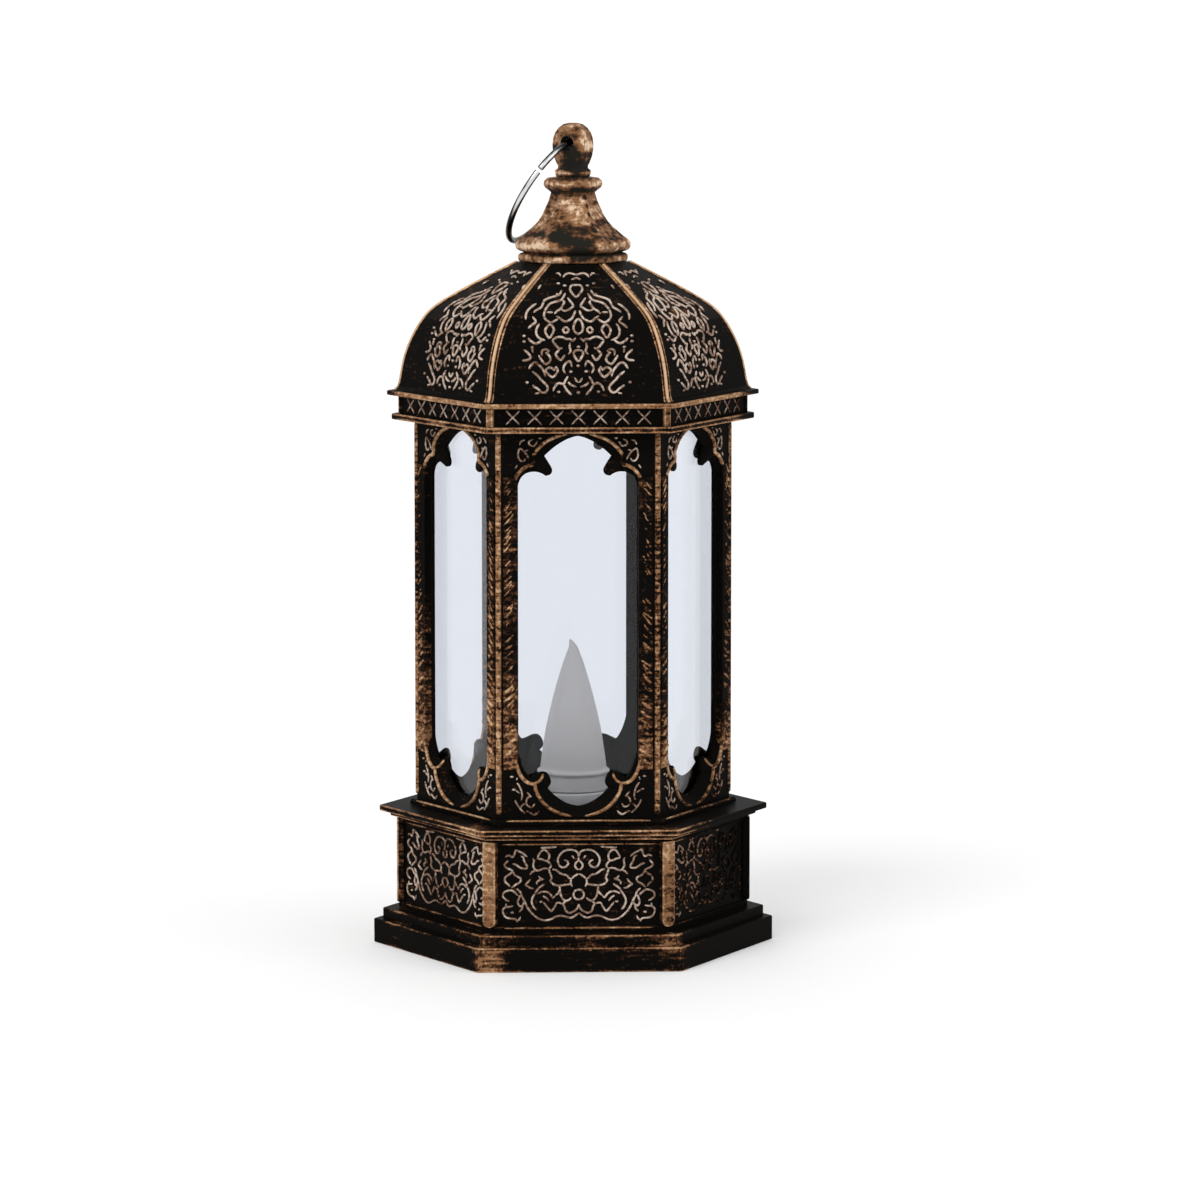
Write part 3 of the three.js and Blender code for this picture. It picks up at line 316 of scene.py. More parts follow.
DOME_STROKES = (
    ("line", ((562, 277.5), (564, 275), (567.5, 273.6), (571, 274.1), (575, 275.2), (579, 274.1),
              (582.5, 273.6), (586, 275), (588, 277.5))),
    ("line", ((570.5, 280), (575, 278.6), (579.5, 280))),
    ("pair_dot", ((563.5, 286),)),
    ("pair_dot", ((557, 283.8),)),
    ("pair_dot", ((556, 294.7),)),
    ("loop", ((570.5, 286), (575, 285.6), (579.5, 286), (581.2, 290), (578.5, 294.3), (575, 297.5),
              (571.5, 294.3), (568.8, 290))),
    ("pair", ((554.5, 273.7), (557.5, 273.7), (559.3, 276.2))),
    ("pair", ((539.5, 285), (536.8, 289.2))),
    ("pair", ((564, 293.5), (562, 297.5), (560, 300.5), (555, 302), (549, 304.2), (545, 308.5), (543, 313),
              (542.7, 317), (545.2, 320.7), (549.5, 323), (553, 321.5), (557, 319))),
    ("pair", ((545, 312.8), (552, 312.9))),
    ("pair", ((553, 314.6), (556, 311.5), (559.3, 309.3), (562, 305), (563, 302.5), (561.3, 300.8))),
    ("pair", ((554.8, 316.5), (558.5, 318.8), (562, 321.5), (565, 322), (568, 320.5), (570.5, 319),
              (572.8, 315), (574, 311))),
    ("pair", ((559.3, 309.3), (562.5, 311.2), (566, 311), (570, 308.6), (572, 306.8), (571, 304.3),
              (568.5, 301), (566.3, 298))),
    ("pair", ((560.5, 290.5), (558, 295), (552, 297.3), (548, 298.5), (543.5, 300.5), (541.8, 303.5),
              (540.5, 307), (538.3, 309), (534.5, 311.2), (532.2, 313))),
    ("pair_dot", ((543.5, 300.6),)),
    ("pair", ((535, 304), (532, 306), (528.5, 308.8), (526, 311.8), (524.6, 315), (524.4, 320))),
    ("pair", ((531, 317), (533.2, 319.6), (534.7, 322.3), (530.5, 325.3), (527, 328.6))),
    ("pair", ((538.3, 324), (536.2, 327), (535, 331), (535.2, 334), (537.3, 337.6), (541, 339.6),
              (544, 340.2))),
    ("pair_loop", ((548.5, 325), (545, 327.8), (543.9, 331), (545, 334.3), (548, 338), (551, 334.3),
                   (552.6, 330.2), (551.3, 327))),
    ("pair_loop", ((564.5, 327.6), (561.8, 330.4), (564.5, 333.6), (567.4, 330.4))),
    ("loop", ((577, 319.5), (579.9, 322), (581.8, 328), (580.3, 332.3), (577, 334.2), (573.7, 332.3),
              (572.2, 328), (574.1, 322))),
    ("pair_dot", ((523, 336),)),
    ("pair_dot", ((523, 341.5),)),
    ("pair", ((527, 338), (529.7, 341), (534, 343.4), (537.5, 342.6), (541, 340))),
    ("pair_dot", ((531, 347.3),)),
    ("pair", ((531, 348), (531.8, 353))),
    ("pair", ((522.5, 349.3), (527, 353), (529.6, 357), (527, 359.7), (521, 360.5))),
    ("pair", ((537.5, 355), (540, 359), (542, 362), (544.7, 364), (548.3, 362), (549.5, 359), (547.7, 355),
              (545.2, 352.8), (548.6, 351.3))),
    ("pair", ((541.2, 355.6), (540.6, 352), (542, 350), (545, 349.4), (548.6, 351.3))),
    ("pair", ((527.8, 369), (530, 365), (533, 362.4), (536, 363), (539.2, 366.2), (542, 369.6), (543.6, 373),
              (544.3, 376.5))),
    ("pair_loop", ((544.5, 370.6), (548, 367.4), (551, 368), (553.2, 369.8), (555, 367), (556.7, 370.5),
                   (555, 374), (551.6, 377), (548, 374.6))),
    ("pair", ((531, 371), (534, 373.3), (537.5, 376.3), (540, 379.6), (543, 382.5), (545.6, 385),
              (546.7, 388.3), (545.2, 391.6), (542.5, 393), (539.5, 391.7), (537, 389), (533, 386.3),
              (531.3, 384.8))),
    ("pair_dot", ((526, 382.3),)),
    ("pair", ((533.5, 394), (538.5, 392.8))),
    ("pair", ((551, 340.4), (554, 338.2), (558, 337), (562, 337.6), (565.5, 339.4), (569, 339.2),
              (571.3, 341), (574.5, 338))),
    ("pair", ((551, 340.4), (553.5, 344), (556.2, 347), (559, 348.7), (561.3, 347.5))),
    ("pair", ((559, 348.7), (556.5, 351.5), (554.4, 354), (556.5, 357.6), (559.8, 360), (562, 357.5),
              (563.7, 354.6))),
    ("pair", ((569, 342.5), (568.4, 347), (569.5, 351.3), (567, 354.3))),
    ("dot", ((577.2, 347),)),
    ("loop", ((577.2, 350), (572.5, 352.4), (574.3, 357.8), (577.2, 361), (580.1, 357.8), (581.9, 352.4))),
    ("pair", ((570.6, 366.6), (569.8, 363.3), (568.5, 361), (565, 363), (562.6, 366.5), (562.4, 370),
              (564.3, 373.2))),
    ("pair_dot", ((569.6, 371.3),)),
    ("dot", ((577.2, 365.6),)),
    ("pair", ((567, 376), (564.5, 380), (562.3, 384), (559, 383), (556, 384), (553.2, 387.5), (552, 391.2))),
    ("pair", ((562.3, 384), (564.6, 388.6), (567.2, 392), (570.3, 395.2))),
    ("pair", ((566.8, 381.8), (570, 385), (575.5, 387))),
    ("pair_dot", ((557.5, 392),)),
    ("dot", ((577.2, 392.6),)),
    ("pair", ((573.5, 377.5), (575.2, 380.6), (577.2, 382.6))),
)
# The same for the corners round a window, in millimetres: across from the window's middle and height
SPANDREL_STROKES = (
    ("pair_dot", ((-10.7, 30.9),)),
    ("pair_dot", ((-10.4, 28.8),)),
    ("pair", ((-10, 30.3), (-9.8, 30.8))),
    ("pair", ((-9.9, 29.9), (-9.5, 29.4), (-9.2, 28.7), (-9.05, 27.8), (-9.2, 27))),
    ("pair", ((-10.1, 28.7), (-9.4, 28.2))),
    ("pair", ((-8.3, 28.4), (-7.8, 27.8), (-8.2, 27.4), (-8.4, 26.8), (-8.2, 26.2), (-7.5, 25.9),
              (-7, 26.5))),
    ("pair", ((-8.5, 26.5), (-9, 26.3), (-9.4, 25.7))),
    ("pair", ((-10.2, 27.1), (-9.8, 26.3), (-9.1, 25.4), (-8.5, 24.9))),
    ("pair", ((-8.4, 25.3), (-7.9, 25.1), (-7.2, 24.7), (-6.7, 24.8), (-6.3, 25.3))),
    ("pair_dot", ((-7.8, 27.7),)),
    ("pair_dot", ((-6.7, 24.9),)),
    ("pair", ((-8.4, 82.5), (-8.6, 82.1), (-9.1, 82), (-9.5, 82.5), (-9.6, 83.1), (-9.4, 84), (-8.8, 83.7),
              (-8.2, 83), (-7.7, 82.1))),
    ("pair", ((-8.6, 83.6), (-8, 83.8))),
    ("pair", ((-9.4, 84.6), (-9.1, 85.2), (-8.5, 85.4))),
    ("pair", ((-7.2, 85.5), (-7.7, 85.3), (-7.9, 84.8), (-7.1, 84.4), (-6.5, 85.2))),
    ("pair", ((-9.7, 81.4), (-10.1, 80.8))),
    ("pair_dot", ((-6.1, 85.7),)),
)

# Window outlines: [control, end] quadratic curves in shares of the half width and of the rise
ARCH_OPENING = (
    (0, 0), ((0.27, -0.05), (0.56, -0.40)), ((0.47, -0.56), (0.43, -0.66)), ((0.41, -0.79), (0.54, -0.80)),
    ((0.64, -0.70), (0.78, -0.72)), ((0.96, -0.75), (1, -1)),
)
ARCH_RIDGE = (
    (0, 0.065), ((0.47, 0.065), (0.67, -0.32)), ((0.70, -0.38), (0.69, -0.45)),
    ((0.68, -0.53), (0.72, -0.57)), ((0.80, -0.58), (0.87, -0.655)), ((0.95, -0.75), (0.985, -0.86)),
)
BOWL_OPENING = (
    (0, 0), ((0.28, 0.03), (0.515, 0.345)), ((0.42, 0.43), (0.47, 0.54)), ((0.50, 0.64), (0.58, 0.655)),
    ((0.70, 0.65), (0.80, 0.53)), ((0.92, 0.63), (1, 1)),
)
BOWL_RIDGE = (
    (0, -0.185), ((0.52, -0.15), (0.665, 0.33)), ((0.67, 0.40), (0.685, 0.44)),
    ((0.70, 0.445), (0.723, 0.445)), ((0.80, 0.455), (0.87, 0.55)), ((0.965, 0.70), (1, 1.03)),
)

# Places where the copper is worn on more heavily (positive strength) or less (negative strength): (middle,
# reach, strength). The wide negative places, on the sides of the plinth, cage and roof and on the dome's
# front panel, are painted shade; the small negative ones on the spire and the window corners take the copper
# off single patches.
RUB_AND_SHADE_PLACES = (
    ((-14.6, -28.6, 1.6), 4.2, 0.55), ((-14.0, -27.6, 5.0), 5.0, 0.2), ((-18.0, -24.5, 20.6), 6.0, 0.4),
    ((14.0, -27.6, 21.9), 8.0, 0.2), ((15.5, -27.2, 4.6), 4.0, 0.4), ((-26.0, -14.0, 12.0), 15.0, -0.4),
    ((30.0, -12.0, 12.0), 26.0, -0.9), ((10.0, -23.5, 101.0), 9.0, -0.1), ((-28.0, -10.0, 98.0), 9.0, -0.15),
    ((17.0, -11.0, 105.0), 9.0, 0.35), ((-29.0, -5.0, 66.0), 20.0, -0.45), ((-7.1, -22.3, 82.2), 1.2, -0.8),
    ((7.1, -22.3, 82.2), 1.2, -0.8), ((33.0, 0.0, 2.0), 10.0, -0.6), ((-33.5, 0.0, 2.0), 8.0, -0.5),
    ((27.0, 0.0, 58.0), 34.0, -0.42), ((12.5, -23.0, 62.0), 26.0, -0.2), ((31.0, 0.0, 90.0), 9.0, -0.7),
    ((-31.0, 0.0, 90.0), 6.0, -0.5), ((33.5, 0.0, 22.0), 9.0, -0.6), ((-2.2, -7.6, 117.0), 3.0, -0.7),
    ((0.9, -9.0, 115.1), 3.4, -1.0), ((2.2, -2.4, 132.2), 3.0, 0.5), ((-0.4, -3.3, 131.0), 2.4, -0.7),
    ((0.0, -3.0, 128.4), 2.6, -0.5), ((3.5, -6.0, 118.0), 0.8, -0.9), ((3.1, -5.3, 119.1), 0.7, -0.9),
    ((2.65, -4.6, 120.5), 0.8, -0.9), ((2.3, -4.0, 121.9), 0.7, -0.9), ((2.0, -3.5, 123.2), 0.8, -0.9),
)

# The copper's amount where plastic turns to stain, stain to copper and copper to crest, and the heights
# between which it thins out where it climbs. The pale crest colours are the palest rubbing and partly a
# painted highlight on the most rubbed places.
STAIN_BAND = (0.12, 0.50)
COPPER_EDGE = 0.52
CREST_AND_HIGHLIGHT_BAND = (0.7, 1.3)
CLIMB_BAND = (38.0, 78.0)

# Rubbed bronze: the usual settings of the copper effect, its colours by name, and what each kind changes
RUBBED = {
    "Rub": 1.0, "Bias": -0.05, "Break-up": 0.9, "Region": 0.3, "Climb": 0.0, "Softness": 0.08, "Grain": 1.0,
    "Plastic": "plastic", "Stain": "stain", "Copper": "copper", "Crest": "crest",
}
RELIEF = 0.2
RUBBED_KINDS = {
    "plastic": {},
    "strips": {"Bias": -0.04, "Break-up": 0.85, "Softness": 0.2, "Grain": 0.8, "Relief": 0.5},
    "scrolls": {"Break-up": 1.0, "Region": 0.8, "Copper": "scroll", "Crest": "scroll_crest"},
    "walls": {"Break-up": 0.7},
    "beads": {"Break-up": 1.25, "Region": 0.2, "Relief": 0.5},
    "ridges": {"Break-up": 1.1, "Region": 0.6},
    "posts": {"Region": 0.4, "Climb": 0.12},
    "leaves": {"Break-up": 1.3, "Region": 0.9, "Climb": 0.1, "Softness": 0.2},
    "ribs": {"Break-up": 1.1, "Region": 0.4, "Relief": 0.35},
    # The spire's bias and pale crest make its rims pale copper, as a painted highlight.
    "spire": {"Bias": 0.14, "Break-up": 1.15, "Region": 0.5, "Relief": 0.35, "Softness": 0.24, "Grain": 0.42,
              "Plastic": "spire_plastic_sheen", "Crest": "spire_crest_highlight"},
}


# Sizes and colours that a user would change

def length(name, description, default, low, high):
    return bpy.props.FloatProperty(
        name=name, description=description + ", in millimetres", default=default, min=low, max=high)


def tint(name, description, default):
    return bpy.props.FloatVectorProperty(
        name=name, description=description, subtype="COLOR", default=default, min=0, max=1)


class LanternSizes(bpy.types.PropertyGroup):
    """Sizes of the lantern's surface detail, in millimetres."""

    edge_round: length("Edge rounding", "Width of the rounded edges of the mouldings", 0.22, 0.05, 0.6)
    stroke_radius: length("Scroll radius", "Half the width of a raised scroll line", 0.19, 0.05, 0.4)
    rib_radius: length("Rib radius", "Half the width of the crest of a dome rib", 0.27, 0.1, 0.9)
    ridge_radius: length("Ridge radius", "Half the width of the line round a window", 0.3, 0.1, 0.9)
    bead_radius: length("Bead radius", "Radius of the beads on the cage's corners", 0.46, 0.2, 1.2)
    wire_radius: length("Ring wire radius", "Radius of the hanging ring's wire", 0.53, 0.2, 1)


class LanternColours(bpy.types.PropertyGroup):
    """Colours of the lantern's finishes."""

    plastic: tint("Plastic", "The dark moulding", (0.0048, 0.0043, 0.0036))
    # Painted sheen: the spire's bare moulding is a paler grey than the other plastic, for the grey reflection
    # on its facets.
    spire_plastic_sheen: tint("Spire plastic", "The spire's moulding, where worn", (0.02, 0.0185, 0.015))
    # Painted highlight: the pale copper on the spire's rims stands for their shine.
    spire_crest_highlight: tint("Spire crest", "The palest copper on the spire's mouldings", (0.83, 0.60, 0.41))
    stain: tint("Stain", "Thin copper at the edge of a rubbed place", (0.075, 0.032, 0.016))
    copper: tint("Copper", "The copper rubbed over raised edges", (0.27, 0.135, 0.064))
    # The crest colours are the palest copper and partly a painted highlight.
    crest: tint("Crest", "The palest copper on the crests", (0.64, 0.42, 0.25))
    scroll: tint("Scroll", "The thinner rubbing on the scrolls", (0.235, 0.146, 0.103))
    scroll_crest: tint("Scroll crest", "The palest rubbing on the scrolls", (0.60, 0.485, 0.40))
    window: tint("Window", "Tint of one clear sheet", (0.842, 0.859, 0.896))
    flame: tint("Flame", "The frosted flame", (0.81, 0.78, 0.75))


# Node trees

class Graph:
    """Adds nodes to one node tree and links them."""

    def __init__(self, tree):
        self.tree = tree

    def node(self, kind, inputs=None, **settings):
        made = self.tree.nodes.new(kind)
        for key, value in settings.items():
            setattr(made, key, value)
        self.fill(made.inputs, inputs or {})
        return made

    def fill(self, sockets, values):
        """Links a socket to each value that is one, and sets the others."""
        for key, value in values.items():
            if isinstance(value, bpy.types.NodeSocket):
                self.tree.links.new(value, sockets[key])
            else:
                sockets[key].default_value = value

    def math(self, operation, a, b):
        return self.node("ShaderNodeMath", {0: a, 1: b}, operation=operation).outputs[0]

    def times(self, a, b):
        return self.math("MULTIPLY", a, b)

    def plus(self, first, *others):
        for other in others:
            first = self.math("ADD", first, other)
        return first

    def about_zero(self, value, scale):
        """A value from 0 to 1, moved to lie round 0 and scaled."""
        return self.times(self.math("SUBTRACT", value, 0.5), scale)

    def noise(self, vector, scale, detail=2.0, roughness=0.5):
        settings = {"Vector": vector, "Scale": scale, "Detail": detail, "Roughness": roughness}
        return self.node("ShaderNodeTexNoise", settings).outputs["Fac"]

    def mix(self, factor, a, b):
        return self.node("ShaderNodeMix", {0: factor, 6: a, 7: b}, data_type="RGBA").outputs[2]

    def band(self, value, low, high):
        """0 below low, 1 above high."""
        settings = {"Value": value, "From Min": low, "From Max": high}
        return self.node("ShaderNodeMapRange", settings, interpolation_type="SMOOTHSTEP").outputs[0]

    def bump(self, shader, height, strength, distance):
        """A bump in the shader's normal, with its distance in millimetres."""
        settings = {"Height": height, "Strength": strength, "Distance": distance * MM}
        self.fill(shader.inputs, {"Normal": self.node("ShaderNodeBump", settings).outputs["Normal"]})

    def millimetres(self, stretch=(1, 1, 1)):
        """Object coordinates in millimetres, squeezed by stretch."""
        place = self.node("ShaderNodeTexCoord").outputs["Object"]
        scale = tuple(part / MM for part in stretch)
        return self.node("ShaderNodeMapping", {"Vector": place, "Scale": scale}).outputs[0]

    def seen_ray(self):
        """1 for rays that show the background: from the camera, in metal and through glass."""
        path = self.node("ShaderNodeLightPath").outputs
        through = self.math("MAXIMUM", path["Is Glossy Ray"], path["Is Transmission Ray"])
        return self.math("MAXIMUM", path["Is Camera Ray"], through)


def colour(value):
    return (*value, 1.0)


def effect_group(name, inputs, outputs, fill):
    """The node group of that name; fill(graph, given, result) draws its tree when it is first asked for."""
    if name in bpy.data.node_groups:
        return bpy.data.node_groups[name]
    group = bpy.data.node_groups.new(name, "ShaderNodeTree")
    for label, default in inputs.items():
        kind = "NodeSocketColor" if isinstance(default, tuple) else "NodeSocketFloat"
        group.interface.new_socket(label, in_out="INPUT", socket_type=kind).default_value = default
    for label in outputs:
        kind = "NodeSocketColor" if label == "Color" else "NodeSocketFloat"
        group.interface.new_socket(label, in_out="OUTPUT", socket_type=kind)
    graph = Graph(group)
    fill(graph, graph.node("NodeGroupInput").outputs, graph.node("NodeGroupOutput").inputs)
    return group


def fill_copper_rub(graph, given, result):
    """Where copper is rubbed over the plastic, from the "rub" attribute, noise, worn places and places of
    painted shade.
    """
    place = graph.millimetres()
    raised = graph.times(graph.node("ShaderNodeAttribute", attribute_name="rub").outputs["Fac"], given["Rub"])
    lengthways = graph.millimetres((0.2, 0.2, 1.0))
    streaks = graph.noise(lengthways, graph.times(given["Grain"], 1.6), detail=3.0, roughness=0.6)
    specks = graph.noise(place, graph.times(given["Grain"], 2.1), roughness=0.6)
    breakup = graph.plus(graph.about_zero(streaks, 1.7), graph.about_zero(specks, 1.3))
    region = graph.about_zero(graph.noise(place, scale=0.085), 2.0)
    total = graph.plus(raised, given["Bias"], graph.times(breakup, given["Break-up"]),
                       graph.times(region, given["Region"]))
    height = graph.node("ShaderNodeSeparateXYZ", {0: place}).outputs["Z"]
    total = graph.math("SUBTRACT", total, graph.times(graph.band(height, *CLIMB_BAND), given["Climb"]))
    # Positive places add copper; the wide negative ones take it away as painted shade.
    for middle, reach, strength in RUB_AND_SHADE_PLACES:
        settings = {0: place, 1: middle}
        away = graph.node("ShaderNodeVectorMath", settings, operation="DISTANCE").outputs["Value"]
        total = graph.plus(total, graph.times(graph.band(away, reach, reach * 0.25), strength))
    soft = given["Softness"]
    mask = graph.band(total, graph.math("SUBTRACT", COPPER_EDGE, soft), graph.plus(COPPER_EDGE, soft))
    tone = graph.about_zero(graph.noise(place, scale=1.3, detail=3.0, roughness=0.6), 1.4)
    bare = graph.mix(graph.band(total, *STAIN_BAND), given["Plastic"], given["Stain"])
    # The crest band paints the palest copper, partly as a painted highlight.
    metal = graph.mix(graph.band(graph.plus(total, tone), *CREST_AND_HIGHLIGHT_BAND), given["Copper"], given["Crest"])
    grain = graph.noise(place, scale=2.4, detail=3.0, roughness=0.65)
    graph.fill(result, {"Color": graph.mix(mask, bare, metal), "Mask": mask,
                        "Height": graph.plus(graph.times(mask, 0.4), grain)})


def fill_moulded_grain(graph, given, result):
    """Fine moulded grain: a roughness, a height and a broad tone that vary over the surface."""
    place = graph.millimetres()
    fine = graph.noise(place, given["Size"], detail=3.0, roughness=0.6)
    roughness = graph.plus(given["Roughness"], graph.about_zero(fine, given["Spread"]))
    graph.fill(result, {"Roughness": roughness, "Height": fine, "Tone": graph.noise(place, scale=0.12)})


def copper_rub():
    inputs = {name: (0, 0, 0, 1) if isinstance(value, str) else value for name, value in RUBBED.items()}
    return effect_group("Copper rub", inputs, ("Color", "Mask", "Height"), fill_copper_rub)


def moulded_grain():
    inputs = {"Size": 3.0, "Roughness": 0.5, "Spread": 0.1}
    return effect_group("Moulded grain", inputs, ("Roughness", "Height", "Tone"), fill_moulded_grain)


# Finishes

def material(name, fill, *values, **settings):
    """The material of that name; fill(graph, shader, ...) draws its tree when it is first asked for."""
    if name in bpy.data.materials:
        return bpy.data.materials[name]
    made = bpy.data.materials.new(name)
    made.use_nodes = True
    fill(Graph(made.node_tree), made.node_tree.nodes["Principled BSDF"], *values, **settings)
    return made


def fill_bronze(graph, shader, kind):
    """Dark plastic with copper rubbed over what stands proud."""
    colours = bpy.context.scene.lantern_colours
    settings = RUBBED | RUBBED_KINDS[kind]
    relief = settings.pop("Relief", RELIEF)
    values = {key: colour(getattr(colours, value)) if isinstance(value, str) else value
              for key, value in settings.items()}
    effect = graph.node("ShaderNodeGroup", values, node_tree=copper_rub()).outputs
    roughness = graph.plus(graph.times(effect["Mask"], 0.05), 0.38)
    graph.fill(shader.inputs, {"Base Color": effect["Color"], "Metallic": graph.times(effect["Mask"], 0.3),
                               "Roughness": roughness, "IOR": 1.04})
    graph.bump(shader, effect["Height"], strength=relief, distance=0.2)


def bronze(kind="plastic"):
    return material("rubbed bronze " + kind, fill_bronze, kind)


def fill_plain(graph, shader, base, roughness, metallic=0.0, spread=0.12, grain=3.0, bump=0.06, tone=0.12,
               specular=0.4):
    """An opaque finish with fine grain and a slight change of tone, darker or paler."""
    values = {"Size": grain, "Roughness": roughness, "Spread": spread}
    effect = graph.node("ShaderNodeGroup", values, node_tree=moulded_grain()).outputs
    other = tuple(min(1.0, part * (1 - tone)) for part in base)
    graph.fill(shader.inputs, {"Base Color": graph.mix(effect["Tone"], colour(base), colour(other)),
                               "Roughness": effect["Roughness"], "Metallic": metallic,
                               "Specular IOR Level": specular})
    graph.bump(shader, effect["Height"], strength=bump, distance=0.1)


def frosted():
    """Frosted grey-white plastic, a little paler in places."""
    base = bpy.context.scene.lantern_colours.flame
    return material("frosted flame", fill_plain, base, 0.42, spread=0.08, grain=1.6, bump=0.04, tone=-0.12,
                    specular=0.35)


def fill_bright_wire(graph, shader):
    """Bright nickel wire with a painted dark reflection towards its outline."""
    edge = graph.node("ShaderNodeLayerWeight", {"Blend": 0.5}).outputs["Facing"]
    spots = graph.noise(graph.millimetres(), scale=0.5)
    # Painted dark reflection: the colour turns nearly black where the wire's surface turns from the camera.
    rim = graph.band(graph.plus(edge, graph.about_zero(spots, 0.4)), 0.08, 0.32)
    nickel = graph.mix(rim, (0.7, 0.7, 0.7, 1), (0.015, 0.015, 0.015, 1))
    graph.fill(shader.inputs, {"Base Color": nickel, "Metallic": 1.0, "Roughness": 0.2})


def fill_clear_sheet(graph, shader):
    """A thin clear plastic sheet with a faint lavender tint and slight handling haze."""
    base = bpy.context.scene.lantern_colours.window
    worn = tuple(part * 0.985 for part in base)
    haze = graph.noise(graph.millimetres(), scale=0.2)
    graph.fill(shader.inputs, {"Base Color": graph.mix(haze, colour(base), colour(worn)), "IOR": 1.3,
                               "Roughness": graph.times(haze, 0.03), "Transmission Weight": 1.0})


def fill_floor(graph, shader):
    """A white floor that glows faintly where the camera sees it."""
    graph.fill(shader.inputs, {
        "Base Color": (0.9, 0.9, 0.9, 1), "Roughness": 0.9, "Specular IOR Level": 0.0,
        "Emission Color": (1, 1, 1, 1), "Emission Strength": graph.times(graph.seen_ray(), 0.12),
    })


# Mesh helpers

def new_bm():
    """An empty bmesh with a layer that says how much copper is rubbed on each corner of its faces."""
    bm = bmesh.new()
    bm.loops.layers.float.new("rub")
    return bm


def rub_layer(bm):
    return bm.loops.layers.float["rub"]


def set_rub(bm, faces, value):
    layer = rub_layer(bm)
    for face in faces:
        for corner in face.loops:
            corner[layer] = value


def rub_by_height(bm, value):
    """Rubs each corner by value(its height)."""
    layer = rub_layer(bm)
    for face in bm.faces:
        for corner in face.loops:
            corner[layer] = value(corner.vert.co.z)


def mesh_in_metres(name, bm):
    """Turns a bmesh in millimetres into a mesh in metres, and frees it."""
    bmesh.ops.scale(bm, vec=(MM, MM, MM), verts=bm.verts)
    mesh = bpy.data.meshes.new(name)
    bm.to_mesh(mesh)
    bm.free()
    return mesh


def add_object(name, data):
    made = bpy.data.objects.new(name, data)
    bpy.context.scene.collection.objects.link(made)
    return made


def finish_piece(name, bm, finish, **settings):
    """Turns a bmesh in millimetres into a piece in metres that rides on a body."""
    bmesh.ops.recalc_face_normals(bm, faces=bm.faces)
    return finish_mesh(name, mesh_in_metres(name, bm), finish, **settings)


def finish_mesh(name, mesh, finish, body="lantern", slot="bronze_plastic", replaced=(), sharp=34,
                weighted=False):
    """Makes a piece of a mesh; sharp is the angle in degrees above which its edges stay sharp."""
    mesh.materials.clear()
    mesh.materials.append(finish)
    mesh.shade_smooth()
    mesh.set_sharp_from_angle(angle=math.radians(sharp))
    piece = add_object(name, mesh)
    if weighted:
        modifier = piece.modifiers.new("Face normals", "WEIGHTED_NORMAL")
        modifier.keep_sharp = True
    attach(piece, body)
    if replaced:
        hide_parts(*replaced)
    return piece


def add_hexagon(bm, radius, z):
    """A filled hexagon with corners on the X axis; returns its face."""
    turn = Matrix.Translation((0, 0, z)) @ Matrix.Rotation(math.pi / 6, 4, "Z")
    made = bmesh.ops.create_circle(bm, cap_ends=True, segments=6, radius=radius, matrix=turn)
    return made["verts"][0].link_faces[0]


def add_box(bm, size, middle=(0, 0, 0)):
    verts = bmesh.ops.create_cube(bm, size=1)["verts"]
    bmesh.ops.scale(bm, vec=size, verts=verts)
    bmesh.ops.translate(bm, vec=middle, verts=verts)


def extrude_face(bm, face):
    """Extrudes a face; one that others already join doesn't stay behind."""
    joined = any(len(edge.link_faces) > 1 for edge in face.edges)
    made = bmesh.ops.extrude_face_region(bm, geom=[face])["geom"]
    if joined:
        bmesh.ops.delete(bm, geom=[face], context="FACES_ONLY")
    return next(part for part in made if isinstance(part, bmesh.types.BMFace))


def grow(bm, face, levels):
    """Extrudes a hexagonal face through its levels."""
    for radius, z in levels:
        face = extrude_face(bm, face)
        for vertex in face.verts:
            across = Vector((vertex.co.x, vertex.co.y, 0)).normalized() * radius
            vertex.co = (across.x, across.y, z)


def hollow(bm, z, levels):
    """Grows the face at the height of z inwards through its levels."""
    underside = next(face for face in bm.faces if all(abs(v.co.z - z) < 1e-6 for v in face.verts))
    grow(bm, underside, levels)
    bmesh.ops.recalc_face_normals(bm, faces=bm.faces)


def height_of(face):
    return face.calc_center_median().z


def facing(bm, direction):
    """Faces whose normal is near a direction."""
    bm.normal_update()
    return [face for face in bm.faces if face.normal.dot(direction) > FACING]


def side_faces(bm, low, high):
    """Faces that look away from the axis, with their middles between two heights."""
    bm.normal_update()
    found = []
    for face in bm.faces:
        middle = face.calc_center_median()
        out = Vector((middle.x, middle.y, 0))
        if low < middle.z < high and out.length > 0 and face.normal.dot(out.normalized()) > FACING:
            found.append(face)
    return found


def convex_edges(bm, least):
    """Edges that stand proud by more than an angle in degrees."""
    bm.normal_update()
    return [edge for edge in bm.edges
            if len(edge.link_faces) == 2 and edge.calc_face_angle_signed(0) > math.radians(least)]


def nearest_reach(edge):
    """How near an edge comes to the axis at its ends."""
    return min(v.co.xy.length for v in edge.verts)


def is_upright(edge):
    return abs(edge.verts[0].co.z - edge.verts[1].co.z) > 0.05


def bevel(bm, edges, width, segments=2):
    """Rounds edges and returns the new faces."""
    return bmesh.ops.bevel(bm, geom=edges, offset=width, offset_type="OFFSET", segments=segments, profile=0.5,
                           affect="EDGES", material=-1, clamp_overlap=True)["faces"]


def round_edges(bm, edges, width, rub, segments=2):
    """Rounds edges and rubs the new faces."""
    faces = bevel(bm, edges, width, segments)
    set_rub(bm, faces, rub)
    return faces


def inset(bm, face, thickness, depth=0.0):
    """Insets a face and returns the border."""
    return bmesh.ops.inset_individual(bm, faces=[face], thickness=thickness, depth=depth,
                                      use_even_offset=True)["faces"]


